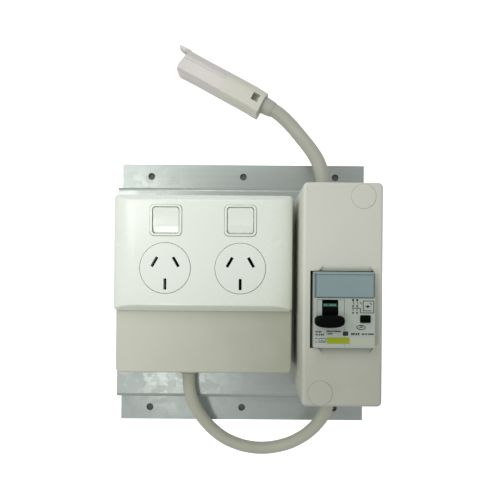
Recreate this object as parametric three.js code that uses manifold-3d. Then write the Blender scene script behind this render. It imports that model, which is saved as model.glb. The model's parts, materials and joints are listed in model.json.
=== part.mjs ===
// Portable double socket outlet with residual current protection, lying on its back.
// A bent sheet bracket carries an outlet box and a two module enclosure, joined by a link lead.
// Millimetres. +Z points out of the front, +Y to the end where the supply lead leaves.
// The origin is at the centre of the bracket's back.
import * as THREE from 'three';
import { mergeVertices } from 'three/addons/utils/BufferGeometryUtils.js';
import Module from 'manifold-3d';

const wasm = await Module();
wasm.setup();

// ---------- driving dimensions ----------
const GAP = 0.3; // left between pieces that touch
const ROUND_SIDES = 24; // facets of a large round
const SMALL_SIDES = 12; // facets of a screw, pin or small bore

// mounting bracket
const BRACKET_WIDTH = 180;
const BRACKET_LENGTH = 190;
const SHEET = 1.5;
const TRAY_LENGTH = 151;
const TRAY_TOP = 14.5;
const BRACKET_BEND = 2;
const FLANGE_HOLE_RADIUS = 2.5;
const FLANGE_HOLE_PITCH = 68.5;
const FLANGE_HOLE_Y = 86;
const FIXING_HOLE_RADIUS = 2;

// outlet box
const BOX = { x0: -82.8, x1: 33.3, y0: -52.3, y1: 64, z0: TRAY_TOP + GAP, z1: 45.5 };
const BOX_WALL = 2;
const BOX_CORNER = 3;
const BOX_BOSS_RADIUS = 4;
const BOX_BOSSES = [[-76, -46], [26.5, -46], [-76, 58], [26.5, 58]];
const BOX_SCREWS = [BOX_BOSSES[0], BOX_BOSSES[3]];
const BOX_WINDOW = { x0: -77, x1: 27, y0: -4, y1: 54.5 };

// double socket outlet
const PLATE_WIDTH = 117;
const PLATE_HEIGHT = 76;
const PLATE = { x: -25.3, y: 26.6, z0: 45.8, z1: 53.5 };
const PLATE_END = 16; // length of each end that curves down
const PLATE_SIDE_INSET = 3.8;
const PLATE_RIM = 0.9;
const PLATE_WALL = 2;
const SOCKET_XS = [-49.2, -0.8];
const SOCKET_Y = 16.5;
const SOCKET_RADIUS = 16.4;
const SLOT_LENGTH = 7.2;
const SLOT_WIDTH = 1.9;
const LINE_SLOT = { x: 6.86, y: 3.96, turn: Math.PI / 6 };
const EARTH_SLOT_Y = -10.31;
const SWITCH_XS = [-48.9, -0.9];
const SWITCH_Y = 47.3;
const BEZEL = { width: 20.5, height: 20, corner: 3, z1: 54.3, opening: 17.4, openingCorner: 2 };
const ROCKER_SIZE = 16.8;
const ROCKER_AXIS_Z = 51;
const PLATE_SCREW_PITCH = 84;
const GRID = { halfWidth: 53, halfHeight: 32, z0: 45.8, z1: 47.8 };
const HOUSING = { x0: -72, x1: 21.4, y0: -2, y1: 53.8, z0: 20, wall: 2 };
const STRIP = 0.8; // brass strip thickness
const BAR_WIDTH = 5;
const CONTACT_LEVELS = { earth: 25, neutral: 29, active: 33, leafTop: 44 };
const BLADE_PIVOT_Z = 40.5;
const LEG_BOTTOM = 43.4;

// enclosure of the residual current device
const CASE_X = 61.3;
const ENCLOSURE = { x0: 37.2, x1: 85.4, y0: -66.7, y1: 68.5, z0: TRAY_TOP + GAP, z1: 75 };
const ENCLOSURE_BASE_TOP = 17.8;
const ENCLOSURE_WALL = 2.2;
const ENCLOSURE_CORNER = 3;
const CAPS = [[73.5, 60], [48.1, -58.4]];
const CAP_RADIUS = 7.2;
const WELL = { outer: 8.4, bore: 7.5, z0: 62, floor: 64.5 };
const POST_RADIUS = 4;
const RAIL_Y = -8;
const RAIL = { halfFlange: 17.5, halfWeb: 12.5, height: 7.5, sheet: 1, x0: 41.7, x1: 80.9 };
const RAIL_FRONT = ENCLOSURE_BASE_TOP + GAP + RAIL.height;
const BASE_SCREW_YS = [52, -52];
const SCREW_TIPS = { box: 29, plate: 38, base: 11, cover: 48, terminal: 53 };
const RELIEF = { x0: 46.7, x1: 79.8, narrowing: 2.8, run: 3.5, depth: 2 };

// residual current device
const NOSE = { x0: 43.3, x1: 79.3, y0: -30.5, y1: 14.5, z1: 81 };
const BODY = { y0: -48, y1: 32, z0: RAIL_FRONT + 0.4, z1: 66 };
const CASE_WALL = 1.8;
const LABEL_STEP_Y = -1.1;
const LABEL_SEAT_Z = 78.7;
const WINDOW = { x0: 41.7, x1: 80.1, y0: -31.4, y1: 15.1 };
const TOGGLE = { y: -8.9, z: 72, drum: 8.5, x0: 48.4, x1: 57.4, lean: 22.7, reach: 14.6 };
const GRIP = { x0: 43, x1: 60.6, height: 7.3, depth: 5, corner: 2.4, neck: 4.4 };
const BUTTON = { x0: 70.4, x1: 76.5, y0: -15.3, y1: -11.2, z1: 81.8 };
const FLAP = { x0: 43.5, x1: 79.1, y0: -0.8, y1: 14.3, z0: 79.65, z1: 81 };
const TERMINAL_XS = { left: 52.3, right: 70.3 };
const TERMINAL_YS = { upper: 24, lower: -40 };
const RIVETS = { upper: [14, 31], lower: [-30, 33] };
const CLIP = { x0: 52, x1: 70.6, y0: -50.8, y1: -25.8, z0: 26.5, z1: 29.5 };
const CONTACT = { x0: 50.5, x1: 54.5, sheet: 1.2, pivot: [-14, 58], bend: [-20, 56.5], end: [-26, 52] };
const FIXED_CONTACT = { y0: -34.5, y1: -21, z: 46, tipY: -24.6, tipRadius: 1.6 };
const RELAY = { x0: 47, x1: 58, y0: 2, y1: 16, z0: 36, z1: 53 };
const PLUNGER = { z: 46, x: 52.5, y0: -3, radius: 1.6 };
const TOROID = { x: 70.2, z: 50, ringRadius: 9.6, halfWidth: 3, halfHeight: 5 };
const TERMINAL_HOLE_RADIUS = 3.4;
const WIRE_HOLE = { half: 3.5, z0: 48.5, z1: 56.5 };
const CAGE = { halfWidth: 4, halfLength: 4.2, z0: 48, z1: 59 };
const CAGE_OPENING = { half: 2.8, z0: 49.5, z1: 55.5 };

// leads and their ends
const LINK_DIAMETER = 8.8;
const SUPPLY_DIAMETER = 10;
const LEAD_SIDES = 10;
const LINK_STEPS = 22;
const SUPPLY_STEPS = 11;
const GLAND = { length: 20, outside: 9, neckWall: 2.2, flange: 1.4, collar: 0.8 };
const SHORT_GLAND_OUTSIDE = 4.2; // of the outlet box, where the tray leaves little room
const LINK_EXIT = [-37, BOX.y0, 23.5];
const LINK_RETURN = [60, ENCLOSURE.y0, 26];
const SUPPLY_EXIT = [55.8, ENCLOSURE.y1, 26.5];
const LINK_ROUTE = [
  [-37, -48.3, 23.5], [-37, -56, 23.5], [-36.9, -63, 23.3], [-36, -70.5, 22.2], [-33.8, -78.5, 19.5],
  [-30.2, -86.6, 15.6], [-25.5, -94.4, 11.5], [-19.7, -101.4, 8], [-12.6, -107.3, 5.8],
  [-4, -111.6, 4.7], [5.5, -114.2, 4.5], [15.6, -115, 4.5], [25.5, -113.7, 5.2], [34.4, -110.6, 7.2],
  [42.2, -105.8, 10.4], [49.1, -99.4, 14.7], [54.6, -91.8, 19.3], [58.3, -84.4, 23.2], [59.9, -78.2, 25.8],
  [60, -74, 26], [60, -68.5, 26], [60, -62.7, 26],
];
const SUPPLY_ROUTE = [
  [55.8, 64.5, 26.5], [55.8, 72, 26.5], [55.7, 78.5, 26.4], [54.9, 85, 25.2], [53.3, 91.8, 22.3],
  [50.8, 98.5, 18.4], [47.3, 105.2, 14.4], [43, 111.8, 11.2], [38.3, 118.2, 9.3], [33.2, 124.1, 8.7],
  [27.9, 129.2, 8.6], [22.4, 133.3, 8.6], [18, 135.7, 8.6], [14.6, 137.5, 8.6],
];
const CONNECTOR = { x: 14, y: 137.8, turn: 152, rear: 31, front: 36, width: 19.4, height: 17.2 };
const BOOT = { length: 9, root: 7, tip: 6 };
const MOUTH = { width: 13.6, height: 11, depth: 20 };
const MOUTH_LIP = { y0: -8.6, y1: -7.1, z0: 5, z1: 13, reach: 5.5 };

// ---------- finishes ----------
const finish = (color, roughness, metalness = 0) =>
  new THREE.MeshStandardMaterial({ color, roughness, metalness });
const galvanised = finish(0xc9d2d3, 0.42, 0.85);
const boxPlastic = finish(0xc6c6b2, 0.5);
const outletWhite = finish(0xe9ebe2, 0.3);
const enclosureGrey = finish(0xd2d2cb, 0.42);
const deviceGrey = finish(0xb9c0b8, 0.45);
const blackPlastic = finish(0x141313, 0.3);
const clearBlue = finish(0x84989b, 0.15);
const cardWhite = finish(0xe4e6e2, 0.7);
const zincSteel = finish(0xb4b6b8, 0.35, 0.9);
const brass = finish(0xc0a050, 0.35, 0.9);
const copper = finish(0xb87650, 0.35, 0.9);
const glandGrey = finish(0xc2c1b4, 0.6);
const leadSheath = finish(0xd2cfc0, 0.5);
const connectorWhite = finish(0xdedcd5, 0.38);
const windingRed = finish(0x8a4030, 0.5);

// ---------- solids from three.js shapes ----------
function solidOf(geometry) {
  const bare = geometry.clone();
  bare.deleteAttribute('normal');
  bare.deleteAttribute('uv');
  const merged = mergeVertices(bare, 1e-4);
  return new wasm.Manifold(new wasm.Mesh({
    numProp: 3,
    vertProperties: Float32Array.from(merged.attributes.position.array),
    triVerts: Uint32Array.from(merged.index.array),
  }));
}

function geometryOf(solid) {
  const mesh = solid.getMesh();
  const geometry = new THREE.BufferGeometry();
  geometry.setAttribute('position', new THREE.BufferAttribute(Float32Array.from(mesh.vertProperties), 3));
  geometry.setIndex(new THREE.BufferAttribute(Uint32Array.from(mesh.triVerts), 1));
  geometry.computeVertexNormals();
  return geometry;
}

const joined = (first, ...others) => others.reduce((whole, piece) => whole.add(piece), first);
const cut = (first, ...tools) => tools.reduce((whole, tool) => whole.subtract(tool), first);

function block(x0, x1, y0, y1, z0, z1) {
  const geometry = new THREE.BoxGeometry(x1 - x0, y1 - y0, z1 - z0);
  geometry.translate((x0 + x1) / 2, (y0 + y1) / 2, (z0 + z1) / 2);
  return solidOf(geometry);
}

// The outline's x and y lie along these row axes, and the extrusion runs along the third.
const ALONG = {
  x: new THREE.Matrix4().makeBasis(
    new THREE.Vector3(0, 1, 0), new THREE.Vector3(0, 0, 1), new THREE.Vector3(1, 0, 0)),
  y: new THREE.Matrix4().makeBasis(
    new THREE.Vector3(0, 0, 1), new THREE.Vector3(1, 0, 0), new THREE.Vector3(0, 1, 0)),
  z: new THREE.Matrix4(),
};

function prism(axis, shape, from, to, curveSegments = 4) {
  const geometry = new THREE.ExtrudeGeometry(shape, { depth: to - from, bevelEnabled: false, curveSegments });
  geometry.translate(0, 0, from);
  geometry.applyMatrix4(ALONG[axis]);
  return solidOf(geometry);
}

const polygon = (points) => new THREE.Shape(points.map(([x, y]) => new THREE.Vector2(x, y)));

// Circle in the plane across an axis: (y, z) for x, (z, x) for y and (x, y) for z.
function rod(axis, across, from, to, radius, sides = SMALL_SIDES) {
  const [a, b] = across;
  const points = Array.from({ length: sides }, (_, i) => {
    const turn = ((i + 0.5) / sides) * 2 * Math.PI;
    return [a + radius * Math.cos(turn), b + radius * Math.sin(turn)];
  });
  return prism(axis, polygon(points), from, to);
}

function roundedRectangle(x0, x1, y0, y1, r) {
  const shape = new THREE.Shape();
  shape.moveTo(x0 + r, y0);
  shape.lineTo(x1 - r, y0);
  shape.absarc(x1 - r, y0 + r, r, -Math.PI / 2, 0);
  shape.lineTo(x1, y1 - r);
  shape.absarc(x1 - r, y1 - r, r, 0, Math.PI / 2);
  shape.lineTo(x0 + r, y1);
  shape.absarc(x0 + r, y1 - r, r, Math.PI / 2, Math.PI);
  shape.lineTo(x0, y0 + r);
  shape.absarc(x0 + r, y0 + r, r, Math.PI, 1.5 * Math.PI);
  return shape;
}

// Block with round upright corners and a rounded front edge.
function moulding({ x0, x1, y0, y1, z0, z1 }, corner, edge) {
  const geometry = new THREE.ExtrudeGeometry(roundedRectangle(x0, x1, y0, y1, corner), {
    depth: z1 - z0, curveSegments: 3, bevelSegments: 2,
    bevelThickness: edge, bevelSize: edge, bevelOffset: -edge,
  });
  geometry.translate(0, 0, z0 - edge);
  return solidOf(geometry).intersect(block(x0 - 1, x1 + 1, y0 - 1, y1 + 1, z0, z1 + 1));
}

// Outline of a strip of even thickness that follows a bent centre line.
function bentStrip(corners, bend, thickness, steps = 3) {
  const path = corners.map(([x, y]) => new THREE.Vector2(x, y));
  const left = [];
  const right = [];
  const add = (point, direction) => {
    const side = new THREE.Vector2(-direction.y, direction.x).multiplyScalar(thickness / 2);
    left.push(point.clone().add(side));
    right.push(point.clone().sub(side));
  };
  const heading = (i) => path[i + 1].clone().sub(path[i]).normalize();
  add(path[0], heading(0));
  for (let i = 1; i < path.length - 1; i += 1) {
    const before = heading(i - 1);
    const after = heading(i);
    const turn = Math.atan2(before.cross(after), before.dot(after));
    const tangent = bend * Math.tan(Math.abs(turn) / 2);
    const start = path[i].clone().addScaledVector(before, -tangent);
    const toCentre = new THREE.Vector2(-before.y, before.x).multiplyScalar(Math.sign(turn) * bend);
    const centre = start.clone().add(toCentre);
    for (let step = 0; step <= steps; step += 1) {
      const part = (turn * step) / steps;
      add(start.clone().rotateAround(centre, part), before.clone().rotateAround(new THREE.Vector2(), part));
    }
  }
  add(path[path.length - 1], heading(path.length - 2));
  return new THREE.Shape([...left, ...right.reverse()]);
}

// Turned piece about its own Y axis, from [radius, y] points that close or end on the axis.
function turned(points, sides = ROUND_SIDES, place = new THREE.Matrix4()) {
  const outline = points.map(([r, y]) => new THREE.Vector2(r, y));
  const area = outline.reduce((sum, p, i) => sum + p.cross(outline[(i + 1) % outline.length]), 0);
  const geometry = new THREE.LatheGeometry(area > 0 ? outline : outline.reverse(), sides);
  geometry.applyMatrix4(place);
  return solidOf(geometry);
}

const glandNeck = (diameter) => diameter / 2 + GLAND.neckWall;

const group = new THREE.Group();
group.name = 'residual_current_protected_outlet';

function addPiece(name, solid, material, parent = group) {
  const mesh = new THREE.Mesh(geometryOf(solid), material);
  mesh.name = name;
  parent.add(mesh);
}

// Slotted pan head screw along Z: the head lies from headFrom to headTo, the tip at tip.
function panScrew([x, y], tip, headFrom, headTo, shank, head) {
  const slotDepth = 0.8 * Math.sign(headTo - tip);
  const top = Math.max(headFrom, headTo);
  const bottom = Math.min(headFrom, headTo);
  const face = [headTo - slotDepth, headTo + slotDepth].sort((a, b) => a - b);
  const body = joined(
    rod('z', [x, y], bottom, top, head),
    rod('z', [x, y], Math.min(tip, bottom), Math.max(tip, top), shank),
  );
  return cut(body, block(x - head - 1, x + head + 1, y - 0.5, y + 0.5, face[0], face[1]));
}

// ---------- mounting bracket ----------
function mountingBracket() {
  const middle = SHEET / 2;
  const web = TRAY_LENGTH / 2 - middle;
  const edge = BRACKET_LENGTH / 2;
  const line = [
    [-edge, middle], [-web, middle], [-web, TRAY_TOP - middle],
    [web, TRAY_TOP - middle], [web, middle], [edge, middle],
  ];
  const sheet = prism('x', bentStrip(line, BRACKET_BEND, SHEET), -BRACKET_WIDTH / 2, BRACKET_WIDTH / 2);
  const flangeHoles = [-1, 0, 1].flatMap((column) => [-1, 1].map((end) =>
    rod('z', [column * FLANGE_HOLE_PITCH, end * FLANGE_HOLE_Y], -1, SHEET + 1, FLANGE_HOLE_RADIUS, 16)));
  const trayHoles = [...BOX_SCREWS, ...BASE_SCREW_YS.map((y) => [CASE_X, y])].map((place) =>
    rod('z', place, TRAY_TOP - SHEET - 1, TRAY_TOP + 1, FIXING_HOLE_RADIUS));
  addPiece('mounting_bracket', cut(sheet, ...flangeHoles, ...trayHoles), galvanised);
}

// ---------- outlet box ----------
function outletBox() {
  const inner = {
    x0: BOX.x0 + BOX_WALL, x1: BOX.x1 - BOX_WALL, y0: BOX.y0 + BOX_WALL, y1: BOX.y1 - BOX_WALL,
    z0: BOX.z0 - 1, z1: BOX.z1 - BOX_WALL,
  };
  const shell = cut(moulding(BOX, BOX_CORNER, 1.2), moulding(inner, 1.5, 0.5));
  const bosses = BOX_BOSSES.map((place) => rod('z', place, BOX.z0, BOX.z1 - 1, BOX_BOSS_RADIUS));
  const bores = BOX_BOSSES.map((place) => rod('z', place, BOX.z0 - 1, BOX.z1 - 10, FIXING_HOLE_RADIUS));
  const { x0, x1, y0, y1 } = BOX_WINDOW;
  const leadHole = rod('y', [LINK_EXIT[2], LINK_EXIT[0]], BOX.y0 - 1, BOX.y0 + BOX_WALL + 1,
    glandNeck(LINK_DIAMETER) + GAP, 16);
  const box = cut(joined(shell, ...bosses), ...bores, block(x0, x1, y0, y1, BOX.z1 - 5, BOX.z1 + 1), leadHole);
  addPiece('outlet_box', box, boxPlastic);
  ['left', 'right'].forEach((side, i) => {
    const head = TRAY_TOP - SHEET - GAP;
    const screw = panScrew(BOX_SCREWS[i], SCREW_TIPS.box, head, head - 2.2, 1.6, 3.4);
    addPiece(`outlet_box_screw_${side}`, screw, zincSteel);
  });
}

// ---------- double socket outlet ----------
// Plate form: ends curve down along X, long sides lean in, corners are slightly round.
function plateForm(shrink, z0) {
  const halfWidth = PLATE_WIDTH / 2 - shrink;
  const halfHeight = PLATE_HEIGHT / 2 - shrink;
  const top = PLATE.z1 - shrink;
  const rim = PLATE.z0 + PLATE_RIM;
  const arch = new THREE.Shape();
  const flat = halfWidth - PLATE_END;
  arch.moveTo(-halfWidth, z0);
  arch.lineTo(halfWidth, z0);
  arch.lineTo(halfWidth, rim);
  arch.absellipse(flat, rim, PLATE_END, top - rim, 0, Math.PI / 2);
  arch.lineTo(-flat, top);
  arch.absellipse(-flat, rim, PLATE_END, top - rim, Math.PI / 2, Math.PI);
  arch.lineTo(-halfWidth, z0);
  // swap to the (z, x) order of a prism along Y
  const ordered = arch.getPoints(7).map((p) => [p.y, PLATE.x + p.x]).reverse();
  const inset = halfHeight - PLATE_SIDE_INSET;
  const sides = polygon([
    [PLATE.y - halfHeight, z0], [PLATE.y + halfHeight, z0], [PLATE.y + halfHeight, rim],
    [PLATE.y + inset, top + 0.01], [PLATE.y - inset, top + 0.01], [PLATE.y - halfHeight, rim],
  ]);
  const corners = roundedRectangle(PLATE.x - halfWidth, PLATE.x + halfWidth,
    PLATE.y - halfHeight, PLATE.y + halfHeight, 2.5);
  return prism('y', polygon(ordered), PLATE.y - halfHeight, PLATE.y + halfHeight)
    .intersect(prism('x', sides, PLATE.x - halfWidth - 1, PLATE.x + halfWidth + 1))
    .intersect(prism('z', corners, z0 - 1, top + 1, 3));
}

function bezelOutline(x, grow) {
  const halfWidth = BEZEL.width / 2 + grow;
  const halfHeight = BEZEL.height / 2 + grow;
  return roundedRectangle(x - halfWidth, x + halfWidth, SWITCH_Y - halfHeight, SWITCH_Y + halfHeight,
    BEZEL.corner);
}

function coverPlate() {
  const shell = cut(plateForm(0, PLATE.z0), plateForm(PLATE_WALL, PLATE.z0 - 1));
  const socketHoles = SOCKET_XS.map((x) =>
    rod('z', [x, SOCKET_Y], PLATE.z0, PLATE.z1 + 1, SOCKET_RADIUS + GAP / 2, 32));
  const switchHoles = SWITCH_XS.map((x) => prism('z', bezelOutline(x, GAP), PLATE.z0, PLATE.z1 + 1));
  addPiece('outlet_cover_plate', cut(shell, ...socketHoles, ...switchHoles), outletWhite);
}

function gridPlate() {
  const { halfWidth, halfHeight, z0, z1 } = GRID;
  const plate = block(PLATE.x - halfWidth, PLATE.x + halfWidth,
    PLATE.y - halfHeight, PLATE.y + halfHeight, z0, z1);
  const openings = SOCKET_XS.map((x) =>
    rod('z', [x, SOCKET_Y], z0 - 1, z1 + 1, SOCKET_RADIUS - 2, ROUND_SIDES));
  const switches = SWITCH_XS.map((x) => {
    const half = BEZEL.opening / 2 + 0.2;
    return block(x - half, x + half, SWITCH_Y - half, SWITCH_Y + half, z0 - 1, z1 + 1);
  });
  const screwPlaces = [-1, 1].map((side) => [PLATE.x + (side * PLATE_SCREW_PITCH) / 2, PLATE.y]);
  const screwHoles = screwPlaces.map((place) => rod('z', place, z0 - 1, z1 + 1, 2));
  addPiece('outlet_grid_plate', cut(plate, ...openings, ...switches, ...screwHoles), outletWhite);
  ['left', 'right'].forEach((side, i) => {
    const screw = panScrew(screwPlaces[i], SCREW_TIPS.plate, z1 + GAP, z1 + GAP + 2, 1.6, 3);
    addPiece(`outlet_plate_screw_${side}`, screw, zincSteel);
  });
}

// Slot centres of one socket, each with its turn about Z.
const slotPlaces = (x) => ({
  active: [x - LINE_SLOT.x, SOCKET_Y + LINE_SLOT.y, -LINE_SLOT.turn],
  neutral: [x + LINE_SLOT.x, SOCKET_Y + LINE_SLOT.y, LINE_SLOT.turn],
  earth: [x, SOCKET_Y + EARTH_SLOT_Y, 0],
});

function placedBox([x, y, turn], width, height, z0, z1) {
  const geometry = new THREE.BoxGeometry(width, height, z1 - z0);
  geometry.rotateZ(turn);
  geometry.translate(x, y, (z0 + z1) / 2);
  return solidOf(geometry);
}

function socketFaces() {
  ['left', 'right'].forEach((side, i) => {
    const x = SOCKET_XS[i];
    const bottom = GRID.z1 + GAP;
    const top = PLATE.z1 + 0.3;
    const face = rod('z', [x, SOCKET_Y], bottom, top, SOCKET_RADIUS - GAP / 2, 32);
    const slots = Object.values(slotPlaces(x)).map((place) =>
      placedBox(place, SLOT_WIDTH, SLOT_LENGTH, bottom - 1, top + 1));
    addPiece(`socket_face_${side}`, cut(face, ...slots), outletWhite);
  });
}

// Two leaves that grip a flat pin, on a base at z0.
function gripLeaves(place, z0, z1) {
  const outer = placedBox(place, SLOT_WIDTH + 2 * STRIP + 0.4, SLOT_LENGTH - 1, z0, z1);
  return cut(outer, placedBox(place, SLOT_WIDTH + 0.4, SLOT_LENGTH, z0 + STRIP, z1 + 1));
}

function brassContacts() {
  const [leftX, rightX] = SOCKET_XS;
  const { earth, neutral, active, leafTop } = CONTACT_LEVELS;
  const half = BAR_WIDTH / 2;
  const earthY = SOCKET_Y + EARTH_SLOT_Y;
  const earthBar = joined(
    block(leftX - 4, rightX + 4, earthY - half, earthY + half, earth, earth + STRIP),
    ...SOCKET_XS.map((x) => gripLeaves(slotPlaces(x).earth, earth, leafTop)),
  );
  addPiece('earth_bar', earthBar, brass);
  const neutralX0 = leftX + LINE_SLOT.x - 3;
  const neutralX1 = rightX + LINE_SLOT.x + 3;
  const neutralY = SOCKET_Y + LINE_SLOT.y;
  const neutralBar = joined(
    block(neutralX0, neutralX1, neutralY - half, neutralY + half, neutral, neutral + STRIP),
    ...SOCKET_XS.map((x) => gripLeaves(slotPlaces(x).neutral, neutral, leafTop)),
  );
  addPiece('neutral_bar', neutralBar, brass);
  ['left', 'right'].forEach((side, i) => {
    const place = slotPlaces(SOCKET_XS[i]).active;
    const [x, y] = place;
    const end = SWITCH_Y - 3;
    const tail = joined(
      block(x - half, x + half, y, end, active, active + STRIP),
      block(x - half, SWITCH_XS[i] + half, end - BAR_WIDTH, end, active, active + STRIP),
    );
    addPiece(`active_contact_${side}`, joined(gripLeaves(place, active, leafTop), tail), brass);
  });
}

function rearHousing() {
  const { x0, x1, y0, y1, z0, wall } = HOUSING;
  const top = GRID.z0 - GAP;
  const shell = cut(block(x0, x1, y0, y1, z0, top),
    block(x0 + wall, x1 - wall, y0 + wall, y1 - wall, z0 + wall, top + 1));
  addPiece('outlet_rear_housing', shell, outletWhite);
}

function switches() {
  ['left', 'right'].forEach((side, i) => {
    const x = SWITCH_XS[i];
    const half = BEZEL.opening / 2;
    const opening = roundedRectangle(x - half, x + half, SWITCH_Y - half, SWITCH_Y + half, BEZEL.openingCorner);
    const bottom = GRID.z1 + GAP;
    const bezel = cut(
      prism('z', bezelOutline(x, 0), bottom, BEZEL.z1),
      prism('z', opening, bottom - 1, BEZEL.z1 + 1),
      rod('x', [SWITCH_Y, ROCKER_AXIS_Z], x - half - 1.2, x + half + 1.2, 1.3),
    );
    addPiece(`switch_bezel_${side}`, bezel, outletWhite);
    addPiece(`rocker_${side}`, rocker(x), outletWhite);
    addPiece(`switch_blade_${side}`, switchBlade(x), brass);
  });
}

// Rocker with a dished upper face, a ridge below the middle and a lower face that falls away.
function rocker(x) {
  const half = ROCKER_SIZE / 2;
  const at = ([y, z]) => [SWITCH_Y + y, ROCKER_AXIS_Z + z];
  const front = [
    [half, 3], [6, 2.65], [3, 2.35], [0, 2.3], [-2.7, 2.6], [-5.5, 2], [-half, 1.2],
  ];
  const outline = polygon([[-half, -1.4], [half, -1.4], ...front].map(at));
  const plan = roundedRectangle(x - half, x + half, SWITCH_Y - half, SWITCH_Y + half, BEZEL.openingCorner);
  const body = prism('x', outline, x - half, x + half)
    .intersect(prism('z', plan, ROCKER_AXIS_Z - 3, ROCKER_AXIS_Z + 6, 3));
  const trunnion = rod('x', [SWITCH_Y, ROCKER_AXIS_Z], x - half - 0.9, x + half + 0.9, 1);
  const leg = block(x - 1.5, x + 1.5, SWITCH_Y - 1.2, SWITCH_Y + 1.2, LEG_BOTTOM, ROCKER_AXIS_Z);
  return joined(body, trunnion, leg);
}

function switchBlade(x) {
  const pivot = [SWITCH_Y, BLADE_PIVOT_Z];
  const line = [[SWITCH_Y - 7, BLADE_PIVOT_Z - 5.1], pivot, [SWITCH_Y + 2.6, BLADE_PIVOT_Z]];
  const strip = prism('x', bentStrip(line, 3, STRIP), x - BAR_WIDTH / 2, x + BAR_WIDTH / 2);
  return joined(strip, rod('x', pivot, x - 3.5, x + 3.5, 1));
}

// ---------- enclosure ----------
function enclosureBase() {
  const { x0, x1, y0, y1, z0 } = ENCLOSURE;
  const plate = prism('z', roundedRectangle(x0, x1, y0, y1, ENCLOSURE_CORNER), z0, ENCLOSURE_BASE_TOP);
  const posts = CAPS.map((place) => rod('z', place, z0 + 1, WELL.z0 - GAP, POST_RADIUS));
  const bores = CAPS.map((place) => rod('z', place, 44, WELL.z0, 2));
  const ribX = ENCLOSURE_WALL + GAP;
  const ribs = [[x0 + ribX, x0 + ribX + 1.5], [x1 - ribX - 1.5, x1 - ribX]].map(([a, b]) =>
    block(a, b, -50, 50, ENCLOSURE_BASE_TOP - 1, ENCLOSURE_BASE_TOP + 3.2));
  const holes = BASE_SCREW_YS.map((y) => rod('z', [CASE_X, y], z0 - 1, ENCLOSURE_BASE_TOP + 1, 2));
  addPiece('enclosure_base', cut(joined(plate, ...posts, ...ribs), ...bores, ...holes), enclosureGrey);
  ['upper', 'lower'].forEach((end, i) => {
    const head = ENCLOSURE_BASE_TOP + GAP;
    const screw = panScrew([CASE_X, BASE_SCREW_YS[i]], SCREW_TIPS.base, head, head + 2, 1.6, 3.4);
    addPiece(`enclosure_fixing_screw_${end}`, screw, zincSteel);
  });
}

// Sloped finger relief in the cover at one end of the window, narrower away from it.
function windowRelief(edgeY, outward) {
  const { x0, x1, narrowing, run, depth } = RELIEF;
  const front = ENCLOSURE.z1;
  const near = edgeY - outward;
  const far = edgeY + run * outward;
  const wedge = [[near, front - depth], [far, front + 0.02], [near, front + 1]];
  const plan = [[x0, near], [x1, near], [x1 - narrowing, far], [x0 + narrowing, far]];
  const facing = (points) => polygon(outward > 0 ? points : [...points].reverse());
  return prism('x', facing(wedge), x0, x1).intersect(prism('z', facing(plan), front - depth - 1, front + 2));
}

function enclosureCover() {
  const wall = ENCLOSURE_WALL;
  const outer = { ...ENCLOSURE, z0: ENCLOSURE_BASE_TOP + GAP };
  const inner = {
    x0: outer.x0 + wall, x1: outer.x1 - wall, y0: outer.y0 + wall, y1: outer.y1 - wall,
    z0: outer.z0 - 1, z1: outer.z1 - wall,
  };
  const shell = cut(moulding(outer, ENCLOSURE_CORNER, 2), moulding(inner, 1.5, 1));
  const wells = CAPS.map((place) => rod('z', place, WELL.z0, outer.z1 - 1, WELL.outer, ROUND_SIDES)
    .intersect(block(outer.x0 + 1, outer.x1 - 1, outer.y0 + 1, outer.y1 - 1, 0, outer.z1)));
  const tools = CAPS.flatMap((place) => [
    rod('z', place, WELL.floor, outer.z1 + 1, WELL.bore, ROUND_SIDES),
    rod('z', place, WELL.z0 - 1, WELL.floor + 1, 2.1),
  ]);
  const leadHoles = [
    rod('y', [SUPPLY_EXIT[2], SUPPLY_EXIT[0]], outer.y1 - wall - 1, outer.y1 + 1,
      glandNeck(SUPPLY_DIAMETER) + GAP, 16),
    rod('y', [LINK_RETURN[2], LINK_RETURN[0]], outer.y0 - 1, outer.y0 + wall + 1,
      glandNeck(LINK_DIAMETER) + GAP, 16),
  ];
  const window = block(WINDOW.x0, WINDOW.x1, WINDOW.y0, WINDOW.y1, outer.z1 - wall - 1, outer.z1 + 1);
  const reliefs = [windowRelief(WINDOW.y1, 1), windowRelief(WINDOW.y0, -1)];
  const cover = cut(joined(shell, ...wells), ...tools, ...leadHoles, window, ...reliefs);
  addPiece('enclosure_cover', cover, enclosureGrey);
  ['upper', 'lower'].forEach((end, i) => {
    const head = WELL.floor + GAP;
    addPiece(`cover_screw_${end}`, panScrew(CAPS[i], SCREW_TIPS.cover, head, head + 2.5, 1.7, 3.6), zincSteel);
    const cap = rod('z', CAPS[i], outer.z1 - 3, outer.z1 + 0.2, CAP_RADIUS, ROUND_SIDES);
    addPiece(`screw_cap_${end}`, cap, enclosureGrey);
  });
}

function dinRail() {
  const { halfFlange, halfWeb, sheet, x0, x1 } = RAIL;
  const back = ENCLOSURE_BASE_TOP + GAP + sheet / 2;
  const front = RAIL_FRONT - sheet / 2;
  const web = halfWeb + sheet / 2;
  const line = [
    [-halfFlange, front], [-web, front], [-web, back], [web, back], [web, front], [halfFlange, front],
  ].map(([y, z]) => [RAIL_Y + y, z]);
  addPiece('din_rail', prism('x', bentStrip(line, 1, sheet, 2), x0, x1), zincSteel);
}

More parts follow.
